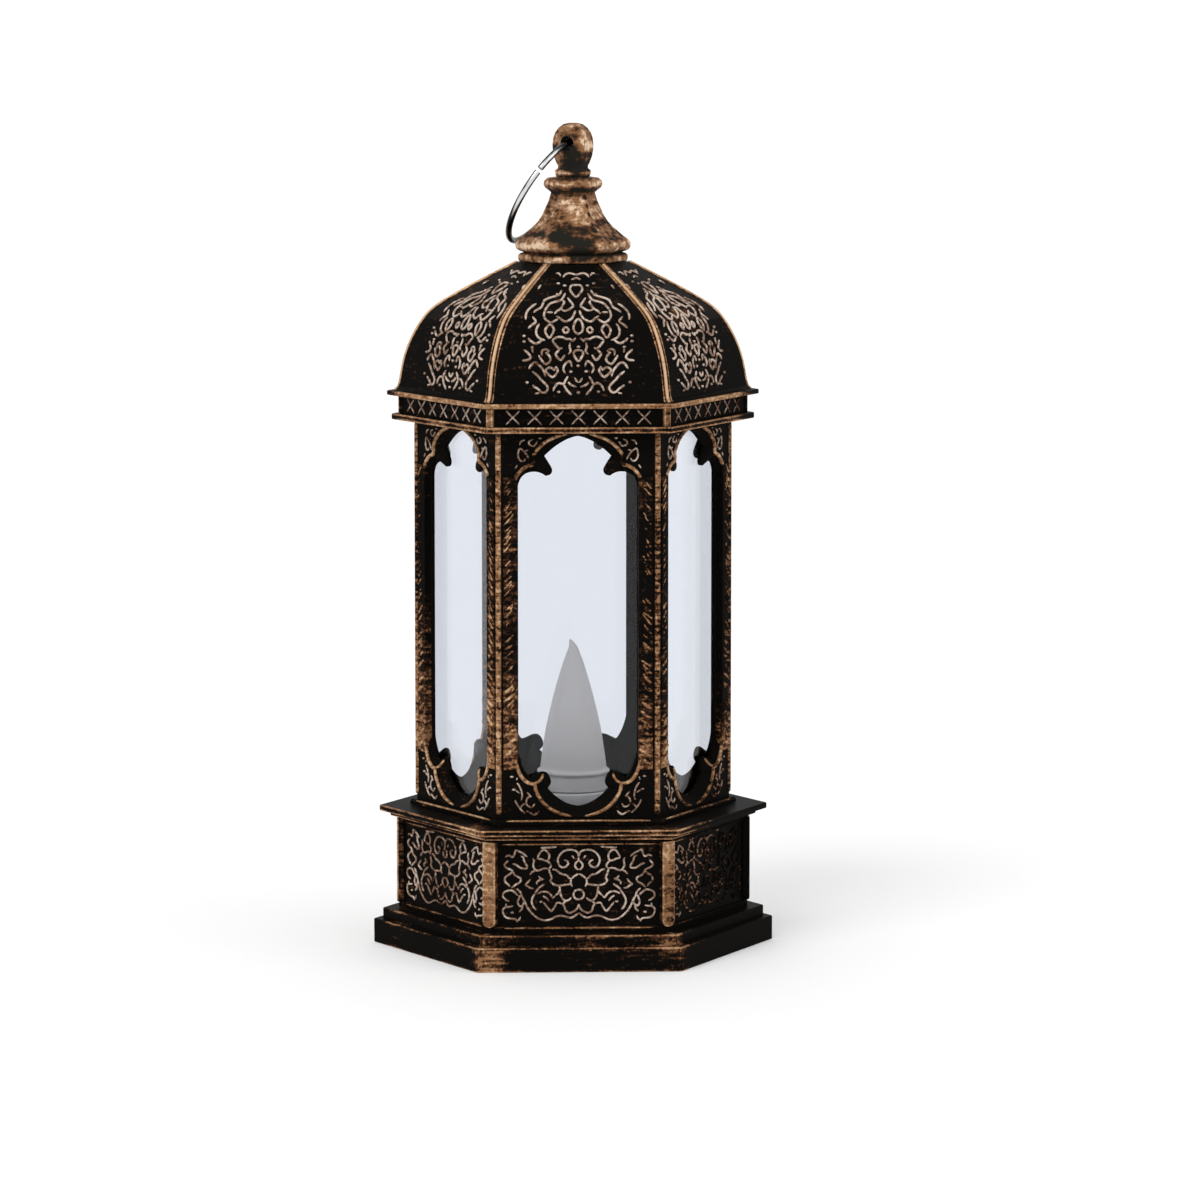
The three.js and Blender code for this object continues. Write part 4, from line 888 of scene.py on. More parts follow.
def shade_borders(bm, faces, width, edge, inner=0.0):
    """A graded border round each face: rubbed at its edge and cleaner inside."""
    layer = rub_layer(bm)
    for face in faces:
        reach = min(width, 0.6 * face.calc_area() / sum(line.calc_length() for line in face.edges))
        before = set(face.verts)
        for border in inset(bm, face, reach):
            for corner in border.loops:
                corner[layer] = edge if corner.vert in before else inner
        set_rub(bm, [face], inner)


def repeat_sides(bm):
    """Copies everything from one side or corner to the others."""
    geometry = [*bm.verts, *bm.edges, *bm.faces]
    for side in SIDES[1:]:
        made = bmesh.ops.duplicate(bm, geom=geometry)["geom"]
        verts = [part for part in made if isinstance(part, bmesh.types.BMVert)]
        bmesh.ops.rotate(bm, verts=verts, cent=(0, 0, 0), matrix=Matrix.Rotation(side * SIXTH, 3, "Z"))


def drill(piece, radius, depth, middle, turn=None, segments=48):
    """Cuts a round hole with its middle there and its axis along Z, or turned."""
    bm = bmesh.new()
    place = Matrix.Translation(middle) @ (turn or Matrix.Identity(4))
    bmesh.ops.create_cone(bm, cap_ends=True, segments=segments, radius1=radius, radius2=radius, depth=depth,
                          matrix=place)
    cutter = add_object("cutter", mesh_in_metres("cutter", bm))
    modifier = piece.modifiers.new("Cut", "BOOLEAN")
    modifier.operation = "DIFFERENCE"
    modifier.solver = "EXACT"
    modifier.object = cutter
    graph = bpy.context.evaluated_depsgraph_get()
    whole, piece.data = piece.data, bpy.data.meshes.new_from_object(piece.evaluated_get(graph))
    piece.modifiers.remove(modifier)
    spare = cutter.data
    bpy.data.objects.remove(cutter)
    bpy.data.meshes.remove(spare)
    bpy.data.meshes.remove(whole)


def copy_node(node, width, least, segments=2):
    """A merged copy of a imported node, in millimetres, with the edges rounded that stand proud."""
    bm = bmesh.new()
    bm.from_mesh(frame["nodes"][node].data)
    bmesh.ops.scale(bm, vec=(1 / MM,) * 3, verts=bm.verts)
    bmesh.ops.remove_doubles(bm, verts=bm.verts, dist=0.002)
    bmesh.ops.dissolve_limit(bm, angle_limit=math.radians(1.0), verts=bm.verts, edges=bm.edges)
    bevel(bm, convex_edges(bm, least), width, segments)
    bmesh.ops.dissolve_degenerate(bm, dist=0.004, edges=bm.edges)
    return bm


# Lines, tubes and scrolls

# A dot is a short thick dash. The ends of a line are drawn in, and each line is nudged by a few steps so
# that no two ends coincide.
DOT_HALF, DOT_THICK = 0.28, 1.35
LINE_ENDS = (0.35, 0.85)
NUDGE, NUDGES = 0.003, 7


def smooth_line(points, closed=False, step=0.3):
    """A Catmull-Rom curve through points of any dimension, sampled about every step."""
    points = [Vector(point) for point in points]
    count = len(points)
    line = []
    for i in range(count if closed else count - 1):
        if closed:
            a, b, c, d = (points[(i + j - 1) % count] for j in range(4))
        else:
            a, b, c, d = (points[min(max(i + j - 1, 0), count - 1)] for j in range(4))
        pieces = max(2, math.ceil((c - b).length / step))
        for j in range(pieces):
            t = j / pieces
            line.append(0.5 * (2 * b + (c - a) * t + (2 * a - 5 * b + 4 * c - d) * t * t
                               + (3 * b - a - 3 * c + d) * t ** 3))
    if not closed:
        line.append(points[-1])
    return line


def on_front_panel(px, py):
    """Across and up on the plinth's front panel, in millimetres, from a place in the photograph."""
    across = (px - PANEL_MIDDLE_PX[0]) / PANEL_PX_PER_MM[0]
    return across, (PANEL_MIDDLE_PX[1] - py) / PANEL_PX_PER_MM[1]


def on_front_dome(px, py):
    """Across and up on the dome's front panel, in millimetres, from a place in the photograph."""
    down = py - DOME_MIDDLE_PX[1]
    middle = DOME_MIDDLE_PX[0] + DOME_LEAN[0] * down + DOME_LEAN[1] * down ** 2
    return (px - middle) / DOME_PX_PER_MM, DOME_UP[0] + DOME_UP[1] * down + DOME_UP[2] * down ** 2


def measured(strokes, place):
    """The strokes with their points taken from the photograph to the panel."""
    return [(kind, [place(px, py) for px, py in points]) for kind, points in strokes]


def drawn_lines(strokes, step=0.3):
    """The strokes as smooth lines: (points, closed, thickness)."""
    lines = []
    for kind, points in strokes:
        twins = [points]
        if kind.startswith("pair"):
            twins.append([(-x, y) for x, y in points])
        for twin in twins:
            nudge = NUDGE * (len(lines) % NUDGES)
            twin = [(x + nudge, y) for x, y in twin]
            if kind.endswith("dot"):
                x, y = twin[0]
                dash = [(x + DOT_HALF * (t - 1.5) / 1.5, y) for t in range(4)]
                lines.append((dash, False, DOT_THICK))
            else:
                closed = kind.endswith("loop")
                lines.append((smooth_line(twin, closed, step), closed, 1.0))
    return lines


def level_line(half, z, steps=12):
    """A straight level line across a side."""
    return [(half * k / steps, z) for k in range(-steps, steps + 1)], False, 1.0


def side_point(side, across, out, z):
    """A point on a side: across to its right as seen from outside, out from the axis, and up."""
    turn = side * SIXTH
    x, y = across, -out
    return Vector((x * math.cos(turn) - y * math.sin(turn), x * math.sin(turn) + y * math.cos(turn), z))


def on_sides(lines, place):
    """Flat lines set on every side by place(side, across, up)."""
    return [([place(side, *point) for point in points], closed, thickness)
            for side in SIDES for points, closed, thickness in lines]


def on_walls(lines, out, base=0.0):
    """Flat lines set on every side, at a distance out from the axis and raised by base."""
    return on_sides(lines, lambda side, x, z: side_point(side, x, out, base + z))


def tubes_mesh(name, lines, radius, rub, resolution, taper):
    """A mesh of round tubes in metres: lines are (points, closed, one thickness or one for each point)."""
    curve = bpy.data.curves.new(name, "CURVE")
    curve.dimensions = "3D"
    curve.bevel_depth = radius * MM
    curve.bevel_resolution = resolution
    curve.use_fill_caps = True
    for points, closed, thickness in lines:
        spline = curve.splines.new("POLY")
        spline.points.add(len(points) - 1)
        spline.use_cyclic_u = closed
        even = isinstance(thickness, float)
        ends = LINE_ENDS if taper and not closed and even else (1, 1)
        for i, point in enumerate(points):
            spline.points[i].co = (*(Vector(point) * MM), 1)
            nearest = min(i, len(points) - 1 - i)
            narrow = ends[nearest] if nearest < 2 else 1
            spline.points[i].radius = narrow * (thickness if even else thickness[i])
    holder = add_object(name, curve)
    graph = bpy.context.evaluated_depsgraph_get()
    mesh = bpy.data.meshes.new_from_object(holder.evaluated_get(graph))
    bpy.data.objects.remove(holder)
    bpy.data.curves.remove(curve)
    bm = bmesh.new()
    bm.from_mesh(mesh)
    bmesh.ops.remove_doubles(bm, verts=bm.verts, dist=0.0005 * MM)
    bm.to_mesh(mesh)
    bm.free()
    values = mesh.attributes.new("rub", "FLOAT", "CORNER")
    values.data.foreach_set("value", [rub] * len(values.data))
    return mesh


def tubes(name, lines, radius, finish, rub, resolution=1, taper=True, sharp=80, **settings):
    """A piece of round tubes along lines, with narrower ends unless taper is off."""
    mesh = tubes_mesh(name, lines, radius, rub, resolution, taper)
    return finish_mesh(name, mesh, finish, sharp=sharp, **settings)


def interpolate(table, value):
    """Linear interpolation in a list of (key, result) with growing keys."""
    if value <= table[0][0]:
        return table[0][1]
    for (low, first), (high, second) in zip(table, table[1:]):
        if value <= high:
            return first + (second - first) * (value - low) / (high - low)
    return table[-1][1]


# The dome's corner line, its radius at a height, and its height as seen from in front
DOME_LINE = [(radius, DOME_Z + up) for radius, up in smooth_line(DOME_PROFILE, step=0.8)]
DOME_LINE[-1] = (DOME_LINE[-1][0], CROWN_Z)
DOME_RADII = [(z, radius) for radius, z in DOME_LINE]
DOME_SEEN = [(z * math.cos(CAMERA_PITCH) - radius * FLAT * math.sin(CAMERA_PITCH), z)
             for radius, z in DOME_LINE]
DOME_FOOT_SEEN = interpolate([(z, seen) for seen, z in DOME_SEEN], DOME_Z + 0.6)


def dome_point(side, across, up, lift=0.0):
    """A point on a dome panel, up being its height as seen from in front."""
    z = interpolate(DOME_SEEN, DOME_FOOT_SEEN + up)
    out = interpolate(DOME_RADII, z) * FLAT
    step = 0.3
    slope_out = interpolate(DOME_RADII, z + step) * FLAT - interpolate(DOME_RADII, z - step) * FLAT
    normal = Vector((2 * step, -slope_out)).normalized()
    return side_point(side, across, out + normal.x * lift, z + normal.y * lift)


def half_outline(shape, half, rise, steps=10):
    """A sampled half outline from the middle to the side."""
    scale = Vector((half, rise))
    points = [Vector(shape[0]) * scale]
    for control, end in shape[1:]:
        first, bend, last = points[-1], Vector(control) * scale, Vector(end) * scale
        for i in range(1, steps + 1):
            t = i / steps
            points.append(first * (1 - t) ** 2 + bend * 2 * t * (1 - t) + last * t * t)
    return points


def window_outline(arch, bowl, half):
    """The whole outline of a window, as (across, z)."""
    above = [(p.x, WINDOW_TOP + p.y) for p in half_outline(arch, half, ARCH_RISE)]
    below = [(p.x, WINDOW_BOTTOM + p.y) for p in half_outline(bowl, half, BOWL_DROP)]
    left = [(-x, z) for x, z in above[1:]] + [(-x, z) for x, z in reversed(below[1:])]
    return below + above[::-1] + left


OPENING = window_outline(ARCH_OPENING, BOWL_OPENING, WINDOW_HALF)
RIDGE = window_outline(ARCH_RIDGE, BOWL_RIDGE, RIDGE_HALF)


# Stage

def aim(thing, place, direction):
    """Puts a camera or a lamp there, looking in a direction."""
    thing.location = place
    thing.rotation_mode = "QUATERNION"
    thing.rotation_quaternion = Vector(direction).to_track_quat("-Z", "Y")


def white_floor():
    bm = bmesh.new()
    bmesh.ops.create_grid(bm, x_segments=2, y_segments=2, size=FLOOR_HALF)
    floor = add_object("floor", mesh_in_metres("floor", bm))
    floor.data.materials.append(material("white floor", fill_floor))


def photo_camera():
    """The camera that was fitted to the outlines in the photograph."""
    data = bpy.data.cameras.new("camera")
    data.sensor_width = SENSOR_WIDTH
    data.lens = FOCAL_PX / PHOTO_PX * SENSOR_WIDTH
    data.clip_start = 0.05
    data.clip_end = 50
    camera = add_object("camera", data)
    level = math.cos(CAMERA_PITCH)
    forward = (level * math.sin(CAMERA_TURN), level * math.cos(CAMERA_TURN), -math.sin(CAMERA_PITCH))
    aim(camera, CAMERA_PLACE, forward)
    bpy.context.scene.camera = camera


def white_studio(ambient=0.72):
    """An even white surrounding, white to the camera, and three soft lamps."""
    world = bpy.data.worlds.new("white studio")
    bpy.context.scene.world = world
    world.use_nodes = True
    sky = Graph(world.node_tree)
    background = world.node_tree.nodes["Background"]
    strength = sky.plus(sky.times(sky.seen_ray(), 1 - ambient), ambient)
    sky.fill(background.inputs, {"Color": (1, 1, 1, 1), "Strength": strength})
    for name, direction, spread, energy in (
        ("key", (0.55, 0.75, -0.95), 30, 1.0),
        ("fill", (-0.9, 0.5, -0.5), 50, 0.3),
        ("back", (0.0, -0.8, -0.9), 50, 0.3),
    ):
        data = bpy.data.lights.new(name, "SUN")
        data.angle = math.radians(spread)
        data.energy = energy
        aim(add_object(name, data), (0, 0, 0.5), direction)
    bpy.context.scene.view_settings.view_transform = "Standard"


class LANTERN_OT_stage(bpy.types.Operator):
    """Makes the floor, the camera and the lights"""
    bl_idname = "lantern.stage"
    bl_label = "Stage"

    def execute(self, context):
        white_floor()
        photo_camera()
        white_studio()
        return {"FINISHED"}


# Plinth

def plinth_shell(width):
    """The foot, the step, the panelled wall, the ledge and the deck, hollow from below."""
    bm = new_bm()
    grow(bm, add_hexagon(bm, FOOT_RADIUS, 0), (
        (FOOT_RADIUS, FOOT_TOP_Z), (STEP_RADIUS, FOOT_TOP_Z), (STEP_RADIUS, STEP_TOP_Z),
        (PLINTH_RADIUS, STEP_TOP_Z), (PLINTH_RADIUS, COVE_Z), (COVE_RADIUS, COVE_Z), (COVE_RADIUS, LEDGE_Z),
        (LEDGE_RADIUS, LEDGE_Z), (LEDGE_RADIUS, DECK_Z),
    ))
    hollow(bm, 0, ((RIM_RADIUS, 0), (RIM_RADIUS, PLATE_SEAT_Z), (PLINTH_INSIDE, PLATE_SEAT_Z),
                   (PLINTH_INSIDE, DECK_Z - DECK_THICK)))
    proud = [edge for edge in convex_edges(bm, PROUD) if nearest_reach(edge) > PLINTH_RADIUS + 0.1]
    rounded = round_edges(bm, proud, width, rub=0.72)
    set_rub(bm, [face for face in rounded if height_of(face) < STEP_TOP_Z + 0.1], 0.58)
    for face in side_faces(bm, STEP_TOP_Z + 2, COVE_Z - 2):
        if len(face.verts) == 4:
            inset(bm, face, PANEL_FRAME)
            set_rub(bm, inset(bm, face, PANEL_SLOPE, -PANEL_RECESS), 0.35)
            inset(bm, face, PANEL_BORDER)
    for low, high, reach, edge, inner in PLINTH_BORDERS:
        shade_borders(bm, side_faces(bm, low, high), reach, edge, inner)
    shade_borders(bm, [face for face in facing(bm, UP) if height_of(face) < DECK_Z - 0.01], 0.5, edge=0.36)
    shell = finish_piece("plinth_shell", bm, bronze(), replaced=("plinth",), weighted=True)
    drill(shell, SLEEVE_HOLE, depth=6, middle=(0, 0, DECK_Z - 1))


def plinth_corner_strips():
    """A strip with a round foot on each corner of the panelled wall."""
    bm = new_bm()
    tall = STRIP_TOP_Z - STRIP_Z
    add_box(bm, (STRIP_THICK, STRIP_WIDE, tall))
    foot = [e for e in bm.edges if abs(e.calc_length() - STRIP_THICK) < 0.01 and e.verts[0].co.z < 0]
    bevel(bm, foot, STRIP_FOOT_ROUND, segments=5)
    front = facing(bm, RIGHT)
    set_rub(bm, bm.faces, 0.3)
    set_rub(bm, front, 0.72)
    round_edges(bm, [edge for face in front for edge in face.edges], STRIP_ROUND, rub=0.95)
    bmesh.ops.translate(bm, vec=(PLINTH_RADIUS - STRIP_ROUND, 0, STRIP_Z + tall / 2), verts=bm.verts)
    repeat_sides(bm)
    finish_piece("plinth_corner_strips", bm, bronze("strips"), weighted=True)


class LANTERN_OT_plinth(bpy.types.Operator):
    """Makes the foot, the panelled wall, the ledge and the deck"""
    bl_idname = "lantern.plinth"
    bl_label = "Plinth"

    def execute(self, context):
        plinth_shell(context.scene.lantern_sizes.edge_round)
        plinth_corner_strips()
        return {"FINISHED"}


class LANTERN_OT_plinth_scrolls(bpy.types.Operator):
    """Makes the raised flower and scrolls on the six plinth panels"""
    bl_idname = "lantern.plinth_scrolls"
    bl_label = "Plinth scrolls"

    def execute(self, context):
        radius = context.scene.lantern_sizes.stroke_radius
        wall = PLINTH_RADIUS * FLAT
        scrolls = drawn_lines(measured(PANEL_STROKES, on_front_panel))
        placed = on_walls(scrolls, wall - PANEL_RECESS + radius * 0.35, PANEL_CENTRE_Z)
        tubes("plinth_scrolls", placed, radius, bronze("scrolls"), rub=1.0)
        edges = on_walls([level_line(*edge) for edge in PANEL_EDGES], wall + 0.02)
        tubes("panel_edge_lines", edges, PANEL_EDGE_RADIUS, bronze(), rub=0.72)
        return {"FINISHED"}


# Window cage

def cage_walls():
    """Six walls with a cusped opening each, which narrows from the ridge to a lip at the clear sheet."""
    bm = new_bm()

    def loop(points, out):
        verts = [bm.verts.new((x, -out, z)) for x, z in points]
        return [bm.edges.new(pair) for pair in zip(verts, verts[1:] + verts[:1])]

    def border(out):
        half = out * math.tan(math.pi / 6)
        return loop([(-half, CAGE_Z), (half, CAGE_Z), (half, CORNICE_Z), (-half, CORNICE_Z)], out)

    ridge = [(x, min(max(z, RIDGE_LOWEST), RIDGE_HIGHEST)) for x, z in RIDGE]
    front_hole, back_hole = loop(ridge, WALL_FACE), loop(OPENING, WALL_BACK)
    lip_hole = loop(OPENING, LIP_BACK)
    front_border, back_border = border(WALL_FACE), border(WALL_BACK)
    bmesh.ops.triangle_fill(bm, use_beauty=True, edges=front_hole + front_border)
    bmesh.ops.triangle_fill(bm, use_beauty=True, edges=back_hole + back_border)
    for first, second in ((front_hole, lip_hole), (lip_hole, back_hole), (front_border, back_border)):
        bmesh.ops.bridge_loops(bm, edges=first + second)
    bmesh.ops.recalc_face_normals(bm, faces=bm.faces)
    repeat_sides(bm)
    finish_piece("cage_walls", bm, bronze("walls"), replaced=("cage",), sharp=28)


def cage_base_rail():
    """The rail round the foot of the cage and the copper line along it."""
    bm = new_bm()
    grow(bm, add_hexagon(bm, RAIL_RADIUS, CAGE_Z), (
        (RAIL_RADIUS, RAIL_FACE_Z), (RAIL_RADIUS - 0.35, RAIL_TOP_Z), (CAGE_RADIUS - 1.5, RAIL_TOP_Z)))
    for face in [face for face in bm.faces if len(face.verts) == 6]:
        bm.faces.remove(face)
    bmesh.ops.bridge_loops(bm, edges=[edge for edge in bm.edges if edge.is_boundary])
    finish_piece("cage_base_rail", bm, bronze(), weighted=True)
    lip = on_walls([level_line(*RAIL_LIP)], (RAIL_RADIUS - 0.15) * FLAT)
    tubes("cage_base_lip", lip, RAIL_LIP_RADIUS, bronze(), rub=0.9)


def cage_corner_beads(radius):
    """A round bead up each corner of the cage."""
    beads = []
    for side in SIDES:
        x, y = BEAD_REACH * math.cos(side * SIXTH), BEAD_REACH * math.sin(side * SIXTH)
        beads.append(([(x, y, z) for z in BEAD_HEIGHTS], False, 1.0))
    tubes("cage_corner_beads", beads, radius, bronze("beads"), rub=0.76, resolution=5, sharp=60)


class LANTERN_OT_cage(bpy.types.Operator):
    """Makes the six cusped window walls with their rails"""
    bl_idname = "lantern.cage"
    bl_label = "Window cage"

    def execute(self, context):
        cage_walls()
        cage_base_rail()
        cage_corner_beads(context.scene.lantern_sizes.bead_radius)
        return {"FINISHED"}


def window_ridges(radius):
    """The copper line round a window, broken at the posts, on both sides of the middle."""
    lines = [([(x * sign, z) for x, z in RIDGE if x > 0 and low < z < high], False, 1.0)
             for low, high in RIDGE_PARTS for sign in (1, -1)]
    placed = on_walls(lines, WALL_FACE + 0.02)
    tubes("window_ridges", placed, radius, bronze("ridges"), rub=0.85, resolution=2)


def window_forks():
    """The short fork that leaves the line under a window on each side and turns in to the opening."""
    lines = [([side_point(side, x * sign, out, z) for x, z, out in smooth_line(FORK)], False, 0.9)
             for sign in (1, -1) for side in SIDES]
    tubes("window_forks", lines, FORK_RADIUS, bronze("ridges"), rub=0.95)


class LANTERN_OT_window_lines(bpy.types.Operator):
    """Makes the copper lines round the windows and the scrolls in their corners"""
    bl_idname = "lantern.window_lines"
    bl_label = "Window lines"

    def execute(self, context):
        sizes = context.scene.lantern_sizes
        window_ridges(sizes.ridge_radius)
        window_forks()
        scrolls = on_walls(drawn_lines(SPANDREL_STROKES), WALL_FACE + sizes.stroke_radius * 0.3)
        tubes("spandrel_scrolls", scrolls, sizes.stroke_radius * 0.9, bronze("scrolls"), rub=0.95)
        return {"FINISHED"}


# Posts

def post_strips():
    """A raised strip on both sides of each window."""
    bm = new_bm()
    for sign in (1, -1):
        add_box(bm, (POST_OUTER - POST_INNER, POST_THICK, POST_TOP_Z - POST_Z),
                (sign * (POST_INNER + POST_OUTER) / 2, -(WALL_FACE + POST_PROUD - POST_THICK / 2),
                 (POST_Z + POST_TOP_Z) / 2))
    bmesh.ops.subdivide_edges(bm, edges=[edge for edge in bm.edges if edge.calc_length() > 20], cuts=12)
    rub_by_height(bm, lambda z: 0.34 + 0.2 * max(0.0, 1 - (z - POST_Z) / 15))
    front = facing(bm, FRONT)
    rim = [e for e in bm.edges if len(e.link_faces) == 2 and sum(face in front for face in e.link_faces) == 1]
    bevel(bm, rim, POST_ROUND)
    repeat_sides(bm)
    finish_piece("post_strips", bm, bronze("posts"), weighted=True)


def post_scales():
    """Slanting leaves up the posts, thinner and fewer towards the top, with short marks between them."""
    chance = random.Random(7)
    leaves, marks = [], []

    def draw(lines, side, sign, line, thickness):
        points = [side_point(side, x * sign, WALL_FACE + POST_PROUD, z) for x, z in line]
        lines.append((points, False, thickness))

    for side in SIDES:
        for sign in (1, -1):
            z = POST_Z + 0.9
            while z < POST_TOP_Z - 1.2:
                share = min(1.0, max(0.0, (z - LEAVES_Z) / (MARKS_Z - LEAVES_Z)))
                rise = chance.uniform(*SCALE_RISE)
                inner = SCALE_INNER[0] + SCALE_INNER[1] * share + chance.uniform(-0.1, 0.25)
                outer = SCALE_OUTER - chance.uniform(0, 0.25)
                line = smooth_line([(outer, z), (outer - 0.3 * (outer - inner), z + 0.16 * rise),
                                    ((outer + inner) / 2, z + 0.42 * rise), (inner, z + rise)], step=0.32)
                last = len(line) - 1
                wide = (SCALE_THICK[0] + SCALE_THICK[1] * share) * chance.uniform(0.75, 1.15)
                swell = [wide * (0.25 + 0.75 * math.sin(math.pi * (0.12 + 0.8 * k / last)))
                         for k in range(last + 1)]
                if chance.random() < 0.75:
                    draw(marks if share > 0.5 else leaves, side, sign, line, swell)
                if chance.random() < 0.35:
                    x, y = chance.uniform(10.2, 11.3), z + 0.7
                    mark = smooth_line([(x, y), (x + 0.3, y - 0.4), (x + 0.45, y - 0.8)])
                    draw(marks, side, sign, mark, 0.13)
                z += (SCALE_PITCH[0] + SCALE_PITCH[1] * share) * chance.uniform(0.85, 1.15)
    for name, lines in (("post_leaves", leaves), ("post_marks", marks)):
        tubes(name, lines, 1.0, bronze("leaves"), rub=0.82)


class LANTERN_OT_posts(bpy.types.Operator):
    """Makes the raised strips beside the windows with their slanting scales"""
    bl_idname = "lantern.posts"
    bl_label = "Post strips"

    def execute(self, context):
        post_strips()
        post_scales()
        return {"FINISHED"}


# Roof

def roof_shell(width):
    """The two flanges, the band between them and the six-sided dome, hollow from below."""
    bm = new_bm()
    grow(bm, add_hexagon(bm, CORNICE_RADIUS, CORNICE_Z), (
        (CORNICE_RADIUS, FRIEZE_Z), (FRIEZE_RADIUS, FRIEZE_Z), (FRIEZE_RADIUS, EAVE_Z), (EAVE_RADIUS, EAVE_Z),
        (EAVE_RADIUS, DOME_Z), *DOME_LINE))
    hollow(bm, CORNICE_Z, ROOF_INSIDE)
    ribs = [edge for edge in bm.edges if min(v.co.z for v in edge.verts) > DOME_Z - 0.01 and is_upright(edge)
            and min(v.co.xy.length - interpolate(DOME_RADII, v.co.z) for v in edge.verts) > -0.2]
    flanges = [edge for edge in convex_edges(bm, PROUD)
               if max(v.co.z for v in edge.verts) < DOME_Z + 0.01 and nearest_reach(edge) > 28.8]
    round_edges(bm, flanges, width, rub=0.85)
    round_edges(bm, [edge for edge in ribs if edge.is_valid], RIB_WIDE, rub=0.3, segments=1)
    shade_borders(bm, side_faces(bm, CORNICE_Z + 0.3, FRIEZE_Z - 0.3), 0.3, edge=0.72, inner=0.36)
    shade_borders(bm, side_faces(bm, EAVE_Z + 0.25, DOME_Z - 0.25), 0.3, edge=1.0, inner=0.8)
    finish_piece("roof_shell", bm, bronze(), replaced=("roof",), sharp=24)


def dome_ribs(name, places, radius, rub):
    """Lines down the dome's corners, at distances across from each corner."""
    lines = []
    for side in SIDES:
        turn = Matrix.Rotation(side * SIXTH, 3, "Z")
        for across in places:
            points = []
            for reach, z in DOME_LINE[1:]:
                share = 0.55 + 0.45 * min(1, reach / 20)
                points.append(turn @ Vector((reach - RIB_SUNK - abs(across) * 0.3, across * share, z)))
            lines.append((points, False, 1.0))
    tubes(name, lines, radius, bronze("ribs"), rub, resolution=2, taper=False)


def frieze():
    """The bars on the corners of the band and the crosses between them."""
    bm = new_bm()
    tall, middle = EAVE_Z - FRIEZE_Z, (EAVE_Z + FRIEZE_Z) / 2
    add_box(bm, (BAR_THICK, BAR_WIDE, tall))
    set_rub(bm, bm.faces, 0.6)
    round_edges(bm, [edge for edge in bm.edges if edge.calc_length() > 2], 0.25, rub=0.9)
    bmesh.ops.translate(bm, vec=(FRIEZE_RADIUS - BAR_SUNK, 0, middle), verts=bm.verts)
    repeat_sides(bm)
    finish_piece("frieze_corner_bars", bm, bronze("strips"), weighted=True)

    crosses = []
    arm = [(-x, -up) for x, up in reversed(CROSS_ARM)] + [*CROSS_ARM]
    for k in range(CROSS_COUNT):
        x = (k - CROSS_COUNT // 2) * CROSS_PITCH
        for lean in (1, -1):
            points = [(x + across * lean, middle + up) for across, up in arm]
            crosses.append((smooth_line(points, step=0.4), False, 1.0))
    placed = on_walls(crosses, FRIEZE_RADIUS * FLAT + 0.03)
    tubes("frieze_crosses", placed, CROSS_RADIUS, bronze("scrolls"), rub=0.92)


def dome_scrolls(radius):
    """The arabesque on the six dome panels."""
    lines = drawn_lines(measured(DOME_STROKES, on_front_dome), step=0.32)

    def place(side, across, up):
        shift = DOME_SHIFTS.get(side, 0) * (1 - up / DOME_SHIFT_END)
        return dome_point(side, across + shift, up, lift=0.06)

    tubes("dome_scrolls", on_sides(lines, place), radius, bronze("scrolls"), rub=1.08)


class LANTERN_OT_roof(bpy.types.Operator):
    """Makes the cornice and the dome"""
    bl_idname = "lantern.roof"
    bl_label = "Roof"

    def execute(self, context):
        sizes = context.scene.lantern_sizes
        roof_shell(sizes.edge_round)
        # The rib crests are rubbed past full, so that their pale crest colour paints a highlight line down
        # each rib.
        dome_ribs("dome_ribs", (0.0,), sizes.rib_radius, rub=1.5)
        dome_ribs("dome_rib_edges", RIB_EDGES, RIB_EDGE_RADIUS, rub=0.85)
        frieze()
        dome_scrolls(sizes.stroke_radius * 1.1)
        return {"FINISHED"}


# Spire and ring

class LANTERN_OT_spire(bpy.types.Operator):
    """Makes the spire with its mouldings, cone, collar and ball"""
    bl_idname = "lantern.spire"
    bl_label = "Spire"

    def execute(self, context):
        bm = new_bm()
        start = add_hexagon(bm, SPIRE_START, SPIRE_Z)
        grow(bm, start, [(radius, SPIRE_Z + z) for radius, z in SPIRE_PROFILE])
        bmesh.ops.recalc_face_normals(bm, faces=bm.faces)
        for low, high, width in SPIRE_ROUNDING:
            upright = [edge for edge in bm.edges if is_upright(edge)
                       and SPIRE_Z + low < (edge.verts[0].co.z + edge.verts[1].co.z) / 2 < SPIRE_Z + high]
            bevel(bm, upright, width)
        bmesh.ops.remove_doubles(bm, verts=bm.verts, dist=0.02)
        bmesh.ops.dissolve_degenerate(bm, dist=0.01, edges=bm.edges)
        # Copper by height; the rims of the mouldings get a painted highlight.
        rub_by_height(bm, lambda z: interpolate(SPIRE_RUB_AND_HIGHLIGHTS, z - SPIRE_Z))
        spire = finish_piece("spire_body", bm, bronze("spire"), replaced=("spire",), sharp=50, weighted=True)
        turn = Matrix.Rotation(-RING_TURN, 4, "Z") @ Matrix.Rotation(math.pi / 2, 4, "X")
        drill(spire, HOLE_RADIUS, depth=12, middle=(0, 0, HOLE_Z), turn=turn, segments=32)
        return {"FINISHED"}


